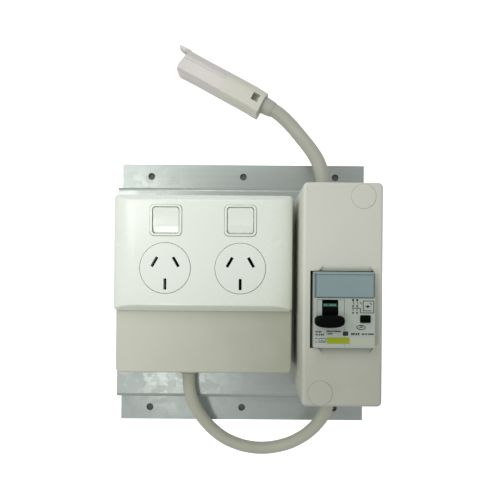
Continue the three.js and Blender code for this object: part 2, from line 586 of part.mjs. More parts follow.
// ---------- residual current device ----------
function caseOutline(shrink) {
  const top = RAIL_Y + RAIL.halfFlange;
  const hook = shrink > 0 ? [] : [
    [top + 4, BODY.z0], [top + 4, RAIL_FRONT - 3.6], [top - 2.5, RAIL_FRONT - 3.6],
    [top - 2.5, RAIL_FRONT - 1.4], [top + GAP, RAIL_FRONT - 1.4], [top + GAP, BODY.z0],
  ];
  return polygon([
    [BODY.y0 + shrink, BODY.z0 + shrink], ...hook.reverse(), [BODY.y1 - shrink, BODY.z0 + shrink],
    [BODY.y1 - shrink, BODY.z1 - shrink], [NOSE.y1 - shrink, BODY.z1 - shrink],
    [NOSE.y1 - shrink, LABEL_SEAT_Z - shrink], [LABEL_STEP_Y - shrink, LABEL_SEAT_Z - shrink],
    [LABEL_STEP_Y - shrink, NOSE.z1 - shrink], [NOSE.y0 + shrink, NOSE.z1 - shrink],
    [NOSE.y0 + shrink, BODY.z1 - shrink], [BODY.y0 + shrink, BODY.z1 - shrink],
  ]);
}

function caseHalf(x0, x1, cavity0, cavity1, terminalX) {
  const shell = cut(prism('x', caseOutline(0), x0, x1), prism('x', caseOutline(CASE_WALL), cavity0, cavity1));
  const screwHoles = Object.values(TERMINAL_YS).map((y) =>
    rod('z', [terminalX, y], BODY.z1 - 4, BODY.z1 + 1, TERMINAL_HOLE_RADIUS));
  const wireHoles = [[BODY.y1 - 3, BODY.y1 + 1], [BODY.y0 - 1, BODY.y0 + 3]].map(([a, b]) =>
    block(terminalX - WIRE_HOLE.half, terminalX + WIRE_HOLE.half, a, b, WIRE_HOLE.z0, WIRE_HOLE.z1));
  const clipChannel = block(CLIP.x0 - GAP, CLIP.x1 + GAP, BODY.y0 - 1, CLIP.y1 + 2.4,
    BODY.z0 - 1, CLIP.z1 + GAP);
  const rivetHoles = Object.values(RIVETS).map((place) => rod('x', place, x0 - 1, x1 + 1, 1.8));
  return cut(shell, ...screwHoles, ...wireHoles, clipChannel, ...rivetHoles);
}

function deviceCase() {
  const middle = CASE_X;
  const toggleCut = joined(
    rod('x', [TOGGLE.y, TOGGLE.z], TOGGLE.x0 - GAP, TOGGLE.x1 + GAP, TOGGLE.drum + 0.4, ROUND_SIDES),
    block(TOGGLE.x0 - GAP, TOGGLE.x1 + GAP, TOGGLE.y - 6.9, TOGGLE.y + 6.9, 76, NOSE.z1 + 1),
  );
  const left = cut(
    caseHalf(NOSE.x0, middle - GAP / 2, NOSE.x0 + CASE_WALL, middle + 1, TERMINAL_XS.left),
    toggleCut,
    rod('x', [TOGGLE.y, TOGGLE.z], NOSE.x0 - 1, NOSE.x0 + 3, 1.5),
  );
  addPiece('device_case_left', left, deviceGrey);
  const shelf = block(68, NOSE.x1 - CASE_WALL + 0.5, -18, -8, 64, 65.7);
  const half = caseHalf(middle + GAP / 2, NOSE.x1, middle - 1, NOSE.x1 - CASE_WALL, TERMINAL_XS.right);
  const buttonHole = block(BUTTON.x0 - GAP, BUTTON.x1 + GAP, BUTTON.y0 - GAP, BUTTON.y1 + GAP, 76, 82);
  addPiece('device_case_right', cut(joined(half, shelf), buttonHole), deviceGrey);
  Object.entries(RIVETS).forEach(([end, place]) => {
    const rivet = joined(
      rod('x', place, NOSE.x0 - 1.2, NOSE.x1 + 1.2, 1.5),
      rod('x', place, NOSE.x0 - 1.2, NOSE.x0 - GAP, 2.6),
      rod('x', place, NOSE.x1 + GAP, NOSE.x1 + 1.2, 2.6),
    );
    addPiece(`case_rivet_${end}`, rivet, zincSteel);
  });
}

function labelParts() {
  const { x0, x1, y0, y1, z0, z1 } = FLAP;
  const radius = (z1 - z0) / 2;
  const barrelY = y1 - radius;
  const sheet = block(x0, x1, y0, barrelY, z0, z1);
  addPiece('label_flap', joined(sheet, rod('x', [barrelY, z0 + radius], x0, x1, radius)), clearBlue);
  addPiece('label_card', block(x0 + 1.2, x1 - 1.2, y0 + 1, y1 - 2, LABEL_SEAT_Z + GAP, z0 - GAP), cardWhite);
}

function toggleParts() {
  const drum = rod('x', [0, 0], TOGGLE.x0, TOGGLE.x1, TOGGLE.drum, ROUND_SIDES);
  const neck = block(TOGGLE.x0 + 0.4, TOGGLE.x1 - 0.4, -GRIP.neck / 2, GRIP.neck / 2,
    3, TOGGLE.reach);
  const gripShape = roundedRectangle(GRIP.x0, GRIP.x1, -GRIP.height / 2, GRIP.height / 2, GRIP.corner);
  const grip = prism('z', gripShape, TOGGLE.reach - GRIP.depth / 2, TOGGLE.reach + GRIP.depth / 2);
  const lever = cut(joined(drum, neck, grip), rod('x', [0, 0], TOGGLE.x0 - 1, TOGGLE.x1 + 1, 1.5));
  const geometry = geometryOf(lever);
  geometry.rotateX(THREE.MathUtils.degToRad(TOGGLE.lean));
  geometry.translate(0, TOGGLE.y, TOGGLE.z);
  addPiece('toggle_lever', solidOf(geometry), blackPlastic);
  addPiece('toggle_pin', rod('x', [TOGGLE.y, TOGGLE.z], NOSE.x0 + GAP, CASE_X - 1, 1.2), zincSteel);
}

function contactParts() {
  const { x0, x1, sheet, pivot, bend, end } = CONTACT;
  const arm = joined(
    prism('x', bentStrip([pivot, bend, end], 3, sheet), x0, x1),
    rod('x', pivot, x0 - 1, x1 + 1, 2.2),
  );
  addPiece('moving_contact', arm, copper);
  const { y0, y1, z, tipY, tipRadius } = FIXED_CONTACT;
  const strip = prism('x', bentStrip([[y1, z], [y0, z]], 1, sheet), x0, x1);
  const tip = rod('z', [(x0 + x1) / 2, tipY], z - 0.4, z + 1.6, tipRadius);
  addPiece('fixed_contact', joined(strip, tip), copper);
}

function innerWorks() {
  const relay = joined(
    block(RELAY.x0, RELAY.x1, RELAY.y0, RELAY.y1, RELAY.z0, RELAY.z1),
    rod('y', [PLUNGER.z, PLUNGER.x], PLUNGER.y0, RELAY.y0 + 1, PLUNGER.radius),
  );
  addPiece('trip_relay', relay, blackPlastic);
  const ring = Array.from({ length: 9 }, (_, i) => {
    const turn = (i / 8) * 2 * Math.PI;
    return [TOROID.ringRadius + TOROID.halfWidth * Math.cos(turn), TOROID.halfHeight * Math.sin(turn)];
  });
  const place = new THREE.Matrix4().makeTranslation(TOROID.x, RAIL_Y, TOROID.z)
    .multiply(new THREE.Matrix4().makeRotationZ(-Math.PI / 2));
  addPiece('sensing_toroid', turned(ring, 20, place), windingRed);
}

function testButton() {
  const { x0, x1, y0, y1, z1 } = BUTTON;
  const flange = block(x0 - 0.8, x1 + 0.8, y0 - 0.8, y1 + 0.8, 76.9, 78.6);
  const stem = prism('z', roundedRectangle(x0, x1, y0, y1, 0.8), 77.5, z1);
  addPiece('test_button', joined(flange, stem), blackPlastic);
  const turns = 4;
  const bottom = 66.3;
  const height = 10;
  const coilRadius = 1.6;
  const points = Array.from({ length: turns * 8 + 1 }, (_, i) => {
    const turn = (i / 8) * 2 * Math.PI;
    return new THREE.Vector3((x0 + x1) / 2 + coilRadius * Math.cos(turn),
      (y0 + y1) / 2 + coilRadius * Math.sin(turn), bottom + (height * i) / (turns * 8));
  });
  const wire = new THREE.Shape().absarc(0, 0, 0.3, 0, 2 * Math.PI);
  const coil = new THREE.ExtrudeGeometry(wire, {
    extrudePath: new THREE.CatmullRomCurve3(points), steps: turns * 10, curveSegments: 6, bevelEnabled: false,
  });
  addPiece('test_spring', solidOf(coil), zincSteel);
}

function railClip() {
  const { x0, x1, y0, y1, z0, z1 } = CLIP;
  const hookBottom = RAIL_FRONT - 3.6;
  const lipTop = RAIL_FRONT - 1.4;
  const clip = joined(
    block(x0, x1, y0, y1, z0, z1),
    block(x0, x1, y1 - 2.4, y1, hookBottom, z0 + 1),
    block(x0, x1, y1 - 1, y1 + 2.6, hookBottom, lipTop),
  );
  const driverSlot = block((x0 + x1) / 2 - 3, (x0 + x1) / 2 + 3, y0 + 1, y0 + 2.4, z0 - 1, z1 + 1);
  addPiece('rail_clip', cut(clip, driverSlot), blackPlastic);
}

function terminals() {
  Object.entries(TERMINAL_YS).forEach(([end, y]) => {
    Object.entries(TERMINAL_XS).forEach(([side, x]) => {
      const { halfWidth, halfLength, z0, z1 } = CAGE;
      const { half } = CAGE_OPENING;
      const cage = cut(
        block(x - halfWidth, x + halfWidth, y - halfLength, y + halfLength, z0, z1),
        block(x - half, x + half, y - 5, y + 5, CAGE_OPENING.z0, CAGE_OPENING.z1),
        rod('z', [x, y], CAGE_OPENING.z1 - 1.5, z1 + 1, 2.4),
      );
      addPiece(`terminal_clamp_${end}_${side}`, cage, zincSteel);
      const screw = panScrew([x, y], SCREW_TIPS.terminal, z1 + 1.5, z1 + 4.8, 2, 3);
      addPiece(`terminal_screw_${end}_${side}`, screw, zincSteel);
    });
  });
}

// ---------- leads, glands and connector ----------

// Tapered strain relief with a flange outside the wall and a collar inside it.
function gland(name, exit, outward, diameter, wall, outside = GLAND.outside) {
  const bore = diameter / 2 + GAP;
  const neck = glandNeck(diameter);
  const inner = -(wall + GAP);
  const flange = neck + GLAND.flange;
  const tail = outside - GLAND.length;
  const points = [
    [bore, tail], [bore + 1.2, tail], [neck + GLAND.collar, inner - 1.5],
    [neck + GLAND.collar, inner], [neck, inner], [neck, GAP], [flange, GAP], [flange, 2],
    [flange - 0.6, 2.6], [neck - 0.4, 3], [bore + 0.9, outside - 0.4], [bore, outside],
    [bore, tail],
  ];
  const place = new THREE.Matrix4().makeTranslation(...exit);
  if (outward < 0) place.multiply(new THREE.Matrix4().makeRotationZ(Math.PI));
  addPiece(name, turned(points, 20, place), glandGrey);
}

function leadTube(name, route, diameter, steps) {
  const section = new THREE.Shape(Array.from({ length: LEAD_SIDES }, (_, i) => {
    const turn = (i / LEAD_SIDES) * 2 * Math.PI;
    return new THREE.Vector2((diameter / 2) * Math.cos(turn), (diameter / 2) * Math.sin(turn));
  }));
  const path = new THREE.CatmullRomCurve3(route.map(([x, y, z]) => new THREE.Vector3(x, y, z)));
  const tube = new THREE.ExtrudeGeometry(section, { extrudePath: path, steps, bevelEnabled: false });
  addPiece(name, solidOf(tube), leadSheath);
}

function leads() {
  gland('link_gland_outlet', LINK_EXIT, -1, LINK_DIAMETER, BOX_WALL, SHORT_GLAND_OUTSIDE);
  gland('link_gland_enclosure', LINK_RETURN, -1, LINK_DIAMETER, ENCLOSURE_WALL);
  gland('supply_gland', SUPPLY_EXIT, 1, SUPPLY_DIAMETER, ENCLOSURE_WALL);
  leadTube('link_cable', LINK_ROUTE, LINK_DIAMETER, LINK_STEPS);
  leadTube('supply_cable', SUPPLY_ROUTE, SUPPLY_DIAMETER, SUPPLY_STEPS);
}

// The connector lies along its own X, from its rear face at zero to its mouth, with a boot round the lead.
function connector() {
  const holder = new THREE.Group();
  holder.position.set(CONNECTOR.x, CONNECTOR.y, 0);
  holder.rotation.z = THREE.MathUtils.degToRad(CONNECTOR.turn);
  group.add(holder);
  const { rear, front, width, height } = CONNECTOR;
  const half = width / 2;
  const middle = height / 2;
  const rearBody = prism('x', roundedRectangle(-half, half, 0, height, 4), 0, rear);
  const taper = prism('z', polygon([[0, -8.6], [9, -half], [rear, -half], [rear, half], [0, half]]),
    -1, height + 1);
  const along = new THREE.Matrix4().makeTranslation(0, 0, middle)
    .multiply(new THREE.Matrix4().makeRotationZ(Math.PI / 2));
  const bore = SUPPLY_DIAMETER / 2 + GAP;
  const boot = turned([[bore, -1], [BOOT.root, -1], [BOOT.tip, BOOT.length], [bore, BOOT.length], [bore, -1]],
    20, along);
  addPiece('connector_rear', joined(rearBody.intersect(taper), boot), connectorWhite, holder);
  const start = rear + GAP;
  const end = rear + front;
  const frontBody = prism('x', roundedRectangle(-half + 0.4, half - 0.4, 0, height, 3), start, end);
  const mouth = prism('x', roundedRectangle(-MOUTH.width / 2, MOUTH.width / 2,
    middle - MOUTH.height / 2, middle + MOUTH.height / 2, 1.5), end - MOUTH.depth, end + 1);
  const lip = block(end - 2, end + MOUTH_LIP.reach, MOUTH_LIP.y0, MOUTH_LIP.y1, MOUTH_LIP.z0, MOUTH_LIP.z1);
  addPiece('connector_front', joined(cut(frontBody, mouth), lip), connectorWhite, holder);
}

mountingBracket();
outletBox();
coverPlate();
gridPlate();
socketFaces();
brassContacts();
rearHousing();
switches();
enclosureBase();
enclosureCover();
dinRail();
deviceCase();
labelParts();
toggleParts();
contactParts();
innerWorks();
testButton();
railClip();
terminals();
leads();
connector();

export default group;
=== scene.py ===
"""Portable double outlet with a residual current device: its fine shapes, finishes and studio.

The bracket lies on its back on the floor, +Z is the front and +Y the end where the supply lead leaves.
Sizes are kept in metres in the property groups below, and the mesh code works in millimetres.
"""
import json
import math
from types import SimpleNamespace

import bmesh
import bpy
from bpy.props import FloatProperty, FloatVectorProperty, PointerProperty
from bpy.types import Operator, Panel, PropertyGroup
from mathutils import Matrix, Vector


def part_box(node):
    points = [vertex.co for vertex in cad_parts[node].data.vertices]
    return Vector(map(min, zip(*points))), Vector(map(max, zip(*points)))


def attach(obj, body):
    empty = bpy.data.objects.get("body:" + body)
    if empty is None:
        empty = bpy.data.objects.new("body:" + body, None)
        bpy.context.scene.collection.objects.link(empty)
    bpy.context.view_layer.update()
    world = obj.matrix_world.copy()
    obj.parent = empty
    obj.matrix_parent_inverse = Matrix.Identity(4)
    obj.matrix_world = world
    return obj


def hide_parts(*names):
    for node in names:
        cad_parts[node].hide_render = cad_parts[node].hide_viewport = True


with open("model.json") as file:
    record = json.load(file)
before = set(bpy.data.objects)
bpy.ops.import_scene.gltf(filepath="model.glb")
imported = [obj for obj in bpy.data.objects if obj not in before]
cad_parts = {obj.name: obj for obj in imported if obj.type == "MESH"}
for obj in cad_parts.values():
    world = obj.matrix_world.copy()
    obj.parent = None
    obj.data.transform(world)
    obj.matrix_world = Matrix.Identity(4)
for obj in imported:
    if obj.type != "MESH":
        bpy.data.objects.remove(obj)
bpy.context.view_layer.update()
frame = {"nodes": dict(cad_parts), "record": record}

bl_info = {
    "name": "Portable protected outlet",
    "version": (1, 0, 0),
    "blender": (4, 5, 0),
    "location": "3D View > Sidebar > Outlet",
    "description": "Builds a portable double outlet with a residual current device",
    "category": "Object",
}

MM = 0.001
ROOT = "frame"
TAU = 2 * math.pi
RING_GAP = 0.12  # between a lead or a disc and the hole round it
INK = 0.05  # thickness of the printed marks


# ---------------------------------------------------------------- sizes and colours
def length(name, millimetres, description):
    return FloatProperty(name=name, description=description, default=millimetres * MM,
                         min=0.0, unit="LENGTH", precision=5)


def colour(name, value, description):
    return FloatVectorProperty(name=name, description=description, default=value,
                               size=3, min=0.0, max=1.0, subtype="COLOR")


def factor(name, value, description):
    return FloatProperty(name=name, description=description, default=value,
                         min=0.0, max=1.0, subtype="FACTOR")


class BracketSizes(PropertyGroup):
    """Sizes of the folded mounting bracket."""
    sheet: length("Sheet", 1.5, "Thickness of the folded sheet")
    tray_length: length("Tray length", 151, "Length of the raised tray")
    bend: length("Bend", 2, "Radius of the folds at the middle of the sheet")
    hole_radius: length("Hole radius", 2.5, "Radius of the flange holes")
    hole_pitch: length("Hole pitch", 68.5, "Distance between neighbouring flange holes")
    hole_y: length("Hole row", 86, "Distance of the flange holes from the middle")
    edge_break: length("Edge break", 0.14, "Rounding of the sheared edges")


class OutletSizes(PropertyGroup):
    """Sizes of the double outlet and its box."""
    box_wall: length("Box wall", 2, "Wall of the outlet box")
    box_corner: length("Box corner", 3, "Radius of the box's upright corners")
    box_edge: length("Box edge", 1.2, "Radius of the box's front edge")
    plate_end: length("Plate end", 16, "Length of each end that curves down")
    plate_lean: length("Plate lean", 3.8, "How far the long sides of the plate lean in")
    plate_rim: length("Plate rim", 0.9, "Height of the plate's upright rim")
    plate_wall: length("Plate wall", 2, "Wall of the cover plate")
    plate_corner: length("Plate corner", 2.5, "Radius of the plate's corners")
    plate_blend: length("Plate blend", 1.1, "Blend between the front and a leaning side")
    socket_radius: length("Socket radius", 16.4, "Radius of a socket face")
    slot_length: length("Slot length", 7.2, "Length of a pin slot")
    slot_width: length("Slot width", 1.9, "Width of a pin slot")
    bezel_corner: length("Bezel corner", 3, "Corner radius of a switch bezel")
    bezel_opening: length("Bezel opening", 17.4, "Opening of a switch bezel")
    opening_corner: length("Opening corner", 2, "Corner radius of the bezel's opening")
    rocker: length("Rocker", 16.8, "Width and height of a rocker")


class EnclosureSizes(PropertyGroup):
    """Sizes of the device's enclosure."""
    wall: length("Wall", 2.2, "Wall of the cover")
    corner: length("Corner", 3, "Radius of the upright corners")
    edge: length("Edge", 2, "Radius of the front edge")
    relief_depth: length("Relief depth", 2, "Depth of the finger relief at the window")
    relief_x: length("Relief middle", 63.25, "Place of the finger reliefs across the cover")
    relief_width: length("Relief width", 33.1, "Width of a finger relief at the window")
    relief_narrowing: length("Relief narrowing", 2.8, "How much a relief narrows on each side")
    relief_run: length("Relief run", 3.5, "Length of a finger relief")
    cap_radius: length("Cap radius", 7.38, "Radius of a screw cap")
    cap_bore: length("Cap bore", 7.5, "Radius of the well that holds a cap")
    well_radius: length("Well radius", 8.4, "Outer radius of that well")


class DeviceSizes(PropertyGroup):
    """Sizes of the residual current device."""
    wall: length("Case wall", 1.8, "Wall of the case halves")
    edge_break: length("Edge break", 0.14, "Rounding of the case edges")
    recess: length("Lever recess", 0.45, "Depth of the recess round the toggle lever")
    drum: length("Drum", 8.5, "Radius of the toggle lever's drum")
    reach: length("Reach", 14.6, "Distance from the pivot to the middle of the grip")
    grip_height: length("Grip height", 7.3, "Height of the grip")
    grip_depth: length("Grip depth", 5, "Depth of the grip")
    neck: length("Neck", 4.4, "Thickness of the neck under the grip")
    flap_border: length("Flap border", 1, "Width of the label flap's side borders")


class LeadSizes(PropertyGroup):
    """Sizes of the leads and of the wiring connector."""
    link_diameter: length("Link lead", 8.8, "Diameter of the link lead")
    supply_diameter: length("Supply lead", 10, "Diameter of the supply lead")
    boot_root: length("Boot root", 6.4, "Radius of the connector's boot where it leaves the housing")
    boot_tip: length("Boot tip", 5.45, "Radius of that boot at its end")
    connector_width: length("Connector width", 19.4, "Width of the wiring connector")
    connector_height: length("Connector height", 17.2, "Height of the wiring connector")
    rear_length: length("Rear length", 31, "Length of the connector's rear housing")
    front_length: length("Front length", 36, "Length of the connector's front body")
    gland_neck_wall: length("Gland wall", 2.2, "Wall of a gland where it passes the housing")
    gland_flange: length("Gland flange", 1.4, "How far a gland's flange stands out")


class StudioSettings(PropertyGroup):
    """Camera, floor and lights."""
    camera_at: FloatVectorProperty(name="Camera", description="Place of the camera",
                                   default=(0.0055, 0.0092, 0.375), size=3, subtype="TRANSLATION",
                                   unit="LENGTH", precision=4)
    camera_roll: FloatProperty(name="Camera roll", description="Turn of the camera about its view",
                               default=math.radians(0.45), subtype="ANGLE")
    camera_rise: FloatProperty(name="Camera rise", description="Upward shift of the framing",
                               default=0.06, min=-1.0, max=1.0)
    key_power: FloatProperty(name="Key light", description="Power of the low key light, in watts",
                             default=0.153, min=0.0)
    top_power: FloatProperty(name="Top light", description="Power of the wide top light, in watts",
                             default=0.235, min=0.0)
    near_power: FloatProperty(name="Near light", description="Power of the near front light, in watts",
                              default=0.153, min=0.0)
    sky: factor("Sky", 0.495, "Strength of the even light from all round")
    floor_glow: factor("Floor glow", 0.75, "How much the floor round the object is lit from below")


class FinishColours(PropertyGroup):
    """Colours of the finishes."""
    zinc: colour("Zinc", (0.47, 0.51, 0.475), "Galvanised sheet")
    box: colour("Outlet box", (0.62, 0.63, 0.51), "Outlet box plastic")
    outlet: colour("Outlet", (0.85, 0.885, 0.79), "Cover plate, sockets and switches")
    enclosure: colour("Enclosure", (0.71, 0.71, 0.62), "Enclosure plastic")
    device: colour("Device", (0.46, 0.51, 0.44), "Device case")
    black: colour("Black", (0.0015, 0.0017, 0.002), "Toggle lever and button")
    flap: colour("Label flap", (0.35, 0.47, 0.46), "Smoke grey label flap")
    card: colour("Label card", (0.62, 0.65, 0.62), "Label card")
    rubber: colour("Gland rubber", (0.46, 0.46, 0.4), "Soft glands")
    sheath: colour("Supply sheath", (0.47, 0.47, 0.39), "Sheath of the supply lead")
    # Painted light: the link sheath is the supply sheath's material, toned apart from it for the light at the
    # bracket's lower end.
    link_sheath_lit_copy: colour("Link sheath", (0.54, 0.55, 0.43), "Sheath of the link lead")
    connector_front: colour("Connector front", (0.67, 0.63, 0.59), "Connector front body")
    connector_rear: colour("Connector rear", (0.69, 0.68, 0.585), "Connector rear housing")
    lime: colour("Lime strip", (0.34, 0.4, 0.003), "Coloured strip on the device")
    cream: colour("Cream strip", (0.52, 0.53, 0.41), "Pale strip on the device")
    green: colour("Green band", (0.009, 0.095, 0.06), "Band on the toggle lever")


def in_mm(group):
    """The lengths of a property group, in millimetres."""
    return SimpleNamespace(**{key: getattr(group, key) / MM for key in type(group).__annotations__})


def cad(node):
    """The box of a frame node, in millimetres."""
    low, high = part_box(node)
    return SimpleNamespace(x0=low.x / MM, x1=high.x / MM, y0=low.y / MM, y1=high.y / MM,
                           z0=low.z / MM, z1=high.z / MM)


def middle(a, b):
    return (a + b) / 2


# ---------------------------------------------------------------- outlines and solids
def rounded(x0, x1, y0, y1, radius, steps=8):
    """Points round a rectangle with round corners, anticlockwise."""
    radius = max(radius, 0.01)
    centres = ((x1 - radius, y0 + radius), (x1 - radius, y1 - radius),
               (x0 + radius, y1 - radius), (x0 + radius, y0 + radius))
    points = []
    for quarter, (cx, cy) in enumerate(centres):
        for i in range(steps + 1):
            turn = math.radians(90 * (quarter - 1 + i / steps))
            points.append((cx + radius * math.cos(turn), cy + radius * math.sin(turn)))
    return points


def circle(cx, cy, radius, sides=64):
    return [(cx + radius * math.cos(TAU * i / sides), cy + radius * math.sin(TAU * i / sides))
            for i in range(sides)]


def smooth_line(points, steps=8):
    """A smooth line through all the points."""
    padded = [points[0], *points, points[-1]]
    line = []
    for a, b, c, d in zip(padded, padded[1:], padded[2:], padded[3:]):
        for i in range(steps):
            t = i / steps
            line.append(tuple(
                0.5 * (2 * q + (r - p) * t + (2 * p - 5 * q + 4 * r - s) * t * t
                       + (3 * q - p - 3 * r + s) * t ** 3)
                for p, q, r, s in zip(a, b, c, d)))
    return line + [tuple(points[-1])]


def fillet(points, radii, steps=6):
    """The outline with each corner rounded to its own radius."""
    line = []
    for i, (point, radius) in enumerate(zip(points, radii)):
        corner = Vector(point)
        if radius <= 0:
            line.append(tuple(corner))
            continue
        before = (Vector(points[i - 1]) - corner).normalized()
        after = (Vector(points[(i + 1) % len(points)]) - corner).normalized()
        reach = radius / math.tan(before.angle(after) / 2)
        start, end = corner + before * reach, corner + after * reach
        for k in range(steps + 1):
            t = k / steps
            line.append(tuple(start * (1 - t) ** 2 + corner * 2 * t * (1 - t) + end * t * t))
    return line


def bent_strip(corners, bend, thickness, steps=10):
    """Outline of a strip of even thickness that follows a bent centre line."""
    path = [Vector(c) for c in corners]
    left, right = [], []

    def add(point, direction):
        side = Vector((-direction.y, direction.x)) * (thickness / 2)
        left.append(tuple(point + side))
        right.append(tuple(point - side))

    add(path[0], (path[1] - path[0]).normalized())
    for before_point, corner, after_point in zip(path, path[1:], path[2:]):
        before = (corner - before_point).normalized()
        after = (after_point - corner).normalized()
        turn = math.atan2(before.x * after.y - before.y * after.x, before.dot(after))
        start = corner - before * bend * math.tan(abs(turn) / 2)
        centre = start + Vector((-before.y, before.x)) * math.copysign(bend, turn)
        for i in range(steps + 1):
            spin = Matrix.Rotation(turn * i / steps, 2)
            add(centre + spin @ (start - centre), spin @ before)
    add(path[-1], (path[-1] - path[-2]).normalized())
    return left + right[::-1]


def skin(rings, closed=False):
    """Mesh skinned over rings of points. Its ends are capped, or joined to each other if it is closed."""
    bm = bmesh.new()
    rows = [[bm.verts.new(p) for p in ring] for ring in rings]
    following = rows[1:] + rows[:1] if closed else rows[1:]
    for low, high in zip(rows, following):
        for i in range(len(low)):
            j = (i + 1) % len(low)
            bm.faces.new((low[i], low[j], high[j], high[i]))
    if not closed:
        bm.faces.new(rows[0][::-1])
        bm.faces.new(rows[-1])
    bmesh.ops.remove_doubles(bm, verts=bm.verts, dist=1e-5)
    bmesh.ops.dissolve_degenerate(bm, edges=bm.edges, dist=1e-6)
    bmesh.ops.recalc_face_normals(bm, faces=bm.faces)
    mesh = bpy.data.meshes.new("solid")
    bm.to_mesh(mesh)
    bm.free()
    return mesh


ALONG = {
    "x": lambda a, b, t: (t, a, b),
    "y": lambda a, b, t: (b, t, a),
    "z": lambda a, b, t: (a, b, t),
}


def prism(axis, outline, start, end):
    """Straight solid along an axis. The outline is in (y, z) for x, (z, x) for y and (x, y) for z."""
    place = ALONG[axis]
    return skin([[place(a, b, t) for a, b in outline] for t in (start, end)])


def block(x0, x1, y0, y1, z0, z1):
    return prism("z", [(x0, y0), (x1, y0), (x1, y1), (x0, y1)], z0, z1)


def quarter(radius, top, steps=5):
    """Quarter round from a side up to the top, as (inset, z)."""
    turns = [math.radians(90 * i / steps) for i in range(steps + 1)]
    return [(radius * (1 - math.cos(turn)), top - radius * (1 - math.sin(turn))) for turn in turns]


def stacked(x0, x1, y0, y1, corner, profile):
    """Rings of round-cornered rectangles, one for each (inset, z) of the profile."""
    return [[(x, y, z) for x, y in rounded(x0 + inset, x1 - inset, y0 + inset, y1 - inset,
                                           max(corner - inset, 0.05))]
            for inset, z in profile]


def soft_block(box, corner, edge, steps=6):
    """Block with round upright corners and a rounded front edge."""
    profile = [(0, box.z0), *quarter(edge, box.z1, steps)]
    return skin(stacked(box.x0, box.x1, box.y0, box.y1, corner, profile))


def inner_box(box, wall):
    """The box left inside a housing that is open at its back."""
    return SimpleNamespace(x0=box.x0 + wall, x1=box.x1 - wall, y0=box.y0 + wall, y1=box.y1 - wall,
                           z0=box.z0 - 1, z1=box.z1 - wall)


def turned(profile, place=Matrix(), sides=64, closed=False):
    """Solid turned about its own Z, from (radius, z) points. A closed profile makes a ring."""
    rings = [[(radius * math.cos(TAU * i / sides), radius * math.sin(TAU * i / sides), z) for i in range(sides)]
             for radius, z in profile]
    mesh = skin(rings, closed)
    mesh.transform(place)
    return mesh


def disc(place, radius, low, top, edge, land, foot=0.0):
    """Round disc with a rounded front edge, a flat land inside it and, if wanted, a cut foot."""
    profile = [(0.0, low), (radius - foot, low)] + ([(radius, low + foot)] if foot else [])
    profile += [(radius - inset, z) for inset, z in quarter(edge, top)]
    profile += [(radius - land, top), (0.0, top)]
    return turned(profile, Matrix.Translation((*place, 0)), 96)


def rod(axis, across, start, end, radius, sides=48):
    a, b = across
    return prism(axis, circle(a, b, radius, sides), start, end)


def shape(base, cuts=(), joins=(), keeps=()):
    """The base mesh with others joined on, then cut away, then kept only inside."""
    body = bpy.data.objects.new("shape", base)
    bpy.context.scene.collection.objects.link(body)
    tools = []
    for operation, meshes in (("UNION", joins), ("DIFFERENCE", cuts), ("INTERSECT", keeps)):
        for mesh in meshes:
            tool = bpy.data.objects.new("tool", mesh)
            bpy.context.scene.collection.objects.link(tool)
            step = body.modifiers.new(operation, "BOOLEAN")
            step.operation, step.solver, step.object = operation, "EXACT", tool
            tools.append(tool)
    result = bpy.data.meshes.new_from_object(
        body.evaluated_get(bpy.context.evaluated_depsgraph_get()))
    for thing in (body, *tools):
        data = thing.data
        bpy.data.objects.remove(thing)
        bpy.data.meshes.remove(data)
    if len(result.polygons) < 4:
        raise RuntimeError("a solid was lost while it was being shaped")
    return result


def merged(meshes):
    """Several separate meshes as one."""
    bm = bmesh.new()
    for mesh in meshes:
        bm.from_mesh(mesh)
        bpy.data.meshes.remove(mesh)
    whole = bpy.data.meshes.new("merged")
    bm.to_mesh(whole)
    bm.free()
    return whole


def soften(thing, width, angle=50):
    """Rounds the sharp edges of a piece and evens its shading."""
    if width:
        bevel = thing.modifiers.new("Edge rounding", "BEVEL")
        bevel.width = width * MM
        bevel.segments = 3
        bevel.limit_method = "ANGLE"
        bevel.angle_limit = math.radians(angle)
        bevel.use_clamp_overlap = False
        bevel.miter_outer = "MITER_ARC"
    even = thing.modifiers.new("Even shading", "WEIGHTED_NORMAL")
    even.keep_sharp = True


def add_piece(name, mesh, finish, body=ROOT, replaces=(), edge=0.0, sharp=35):
    """Puts a mesh made in millimetres into the scene as a piece that rides on a body."""
    mesh.transform(Matrix.Scale(MM, 4))
    mesh.name = name
    mesh.materials.clear()
    mesh.materials.append(finish)
    for face in mesh.polygons:
        face.use_smooth = True
    if not edge:
        mesh.set_sharp_from_angle(angle=math.radians(sharp))
    piece = bpy.data.objects.new(name, mesh)
    bpy.context.scene.collection.objects.link(piece)
    soften(piece, edge)
    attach(piece, body)
    if replaces:
        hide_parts(*replaces)
    return piece


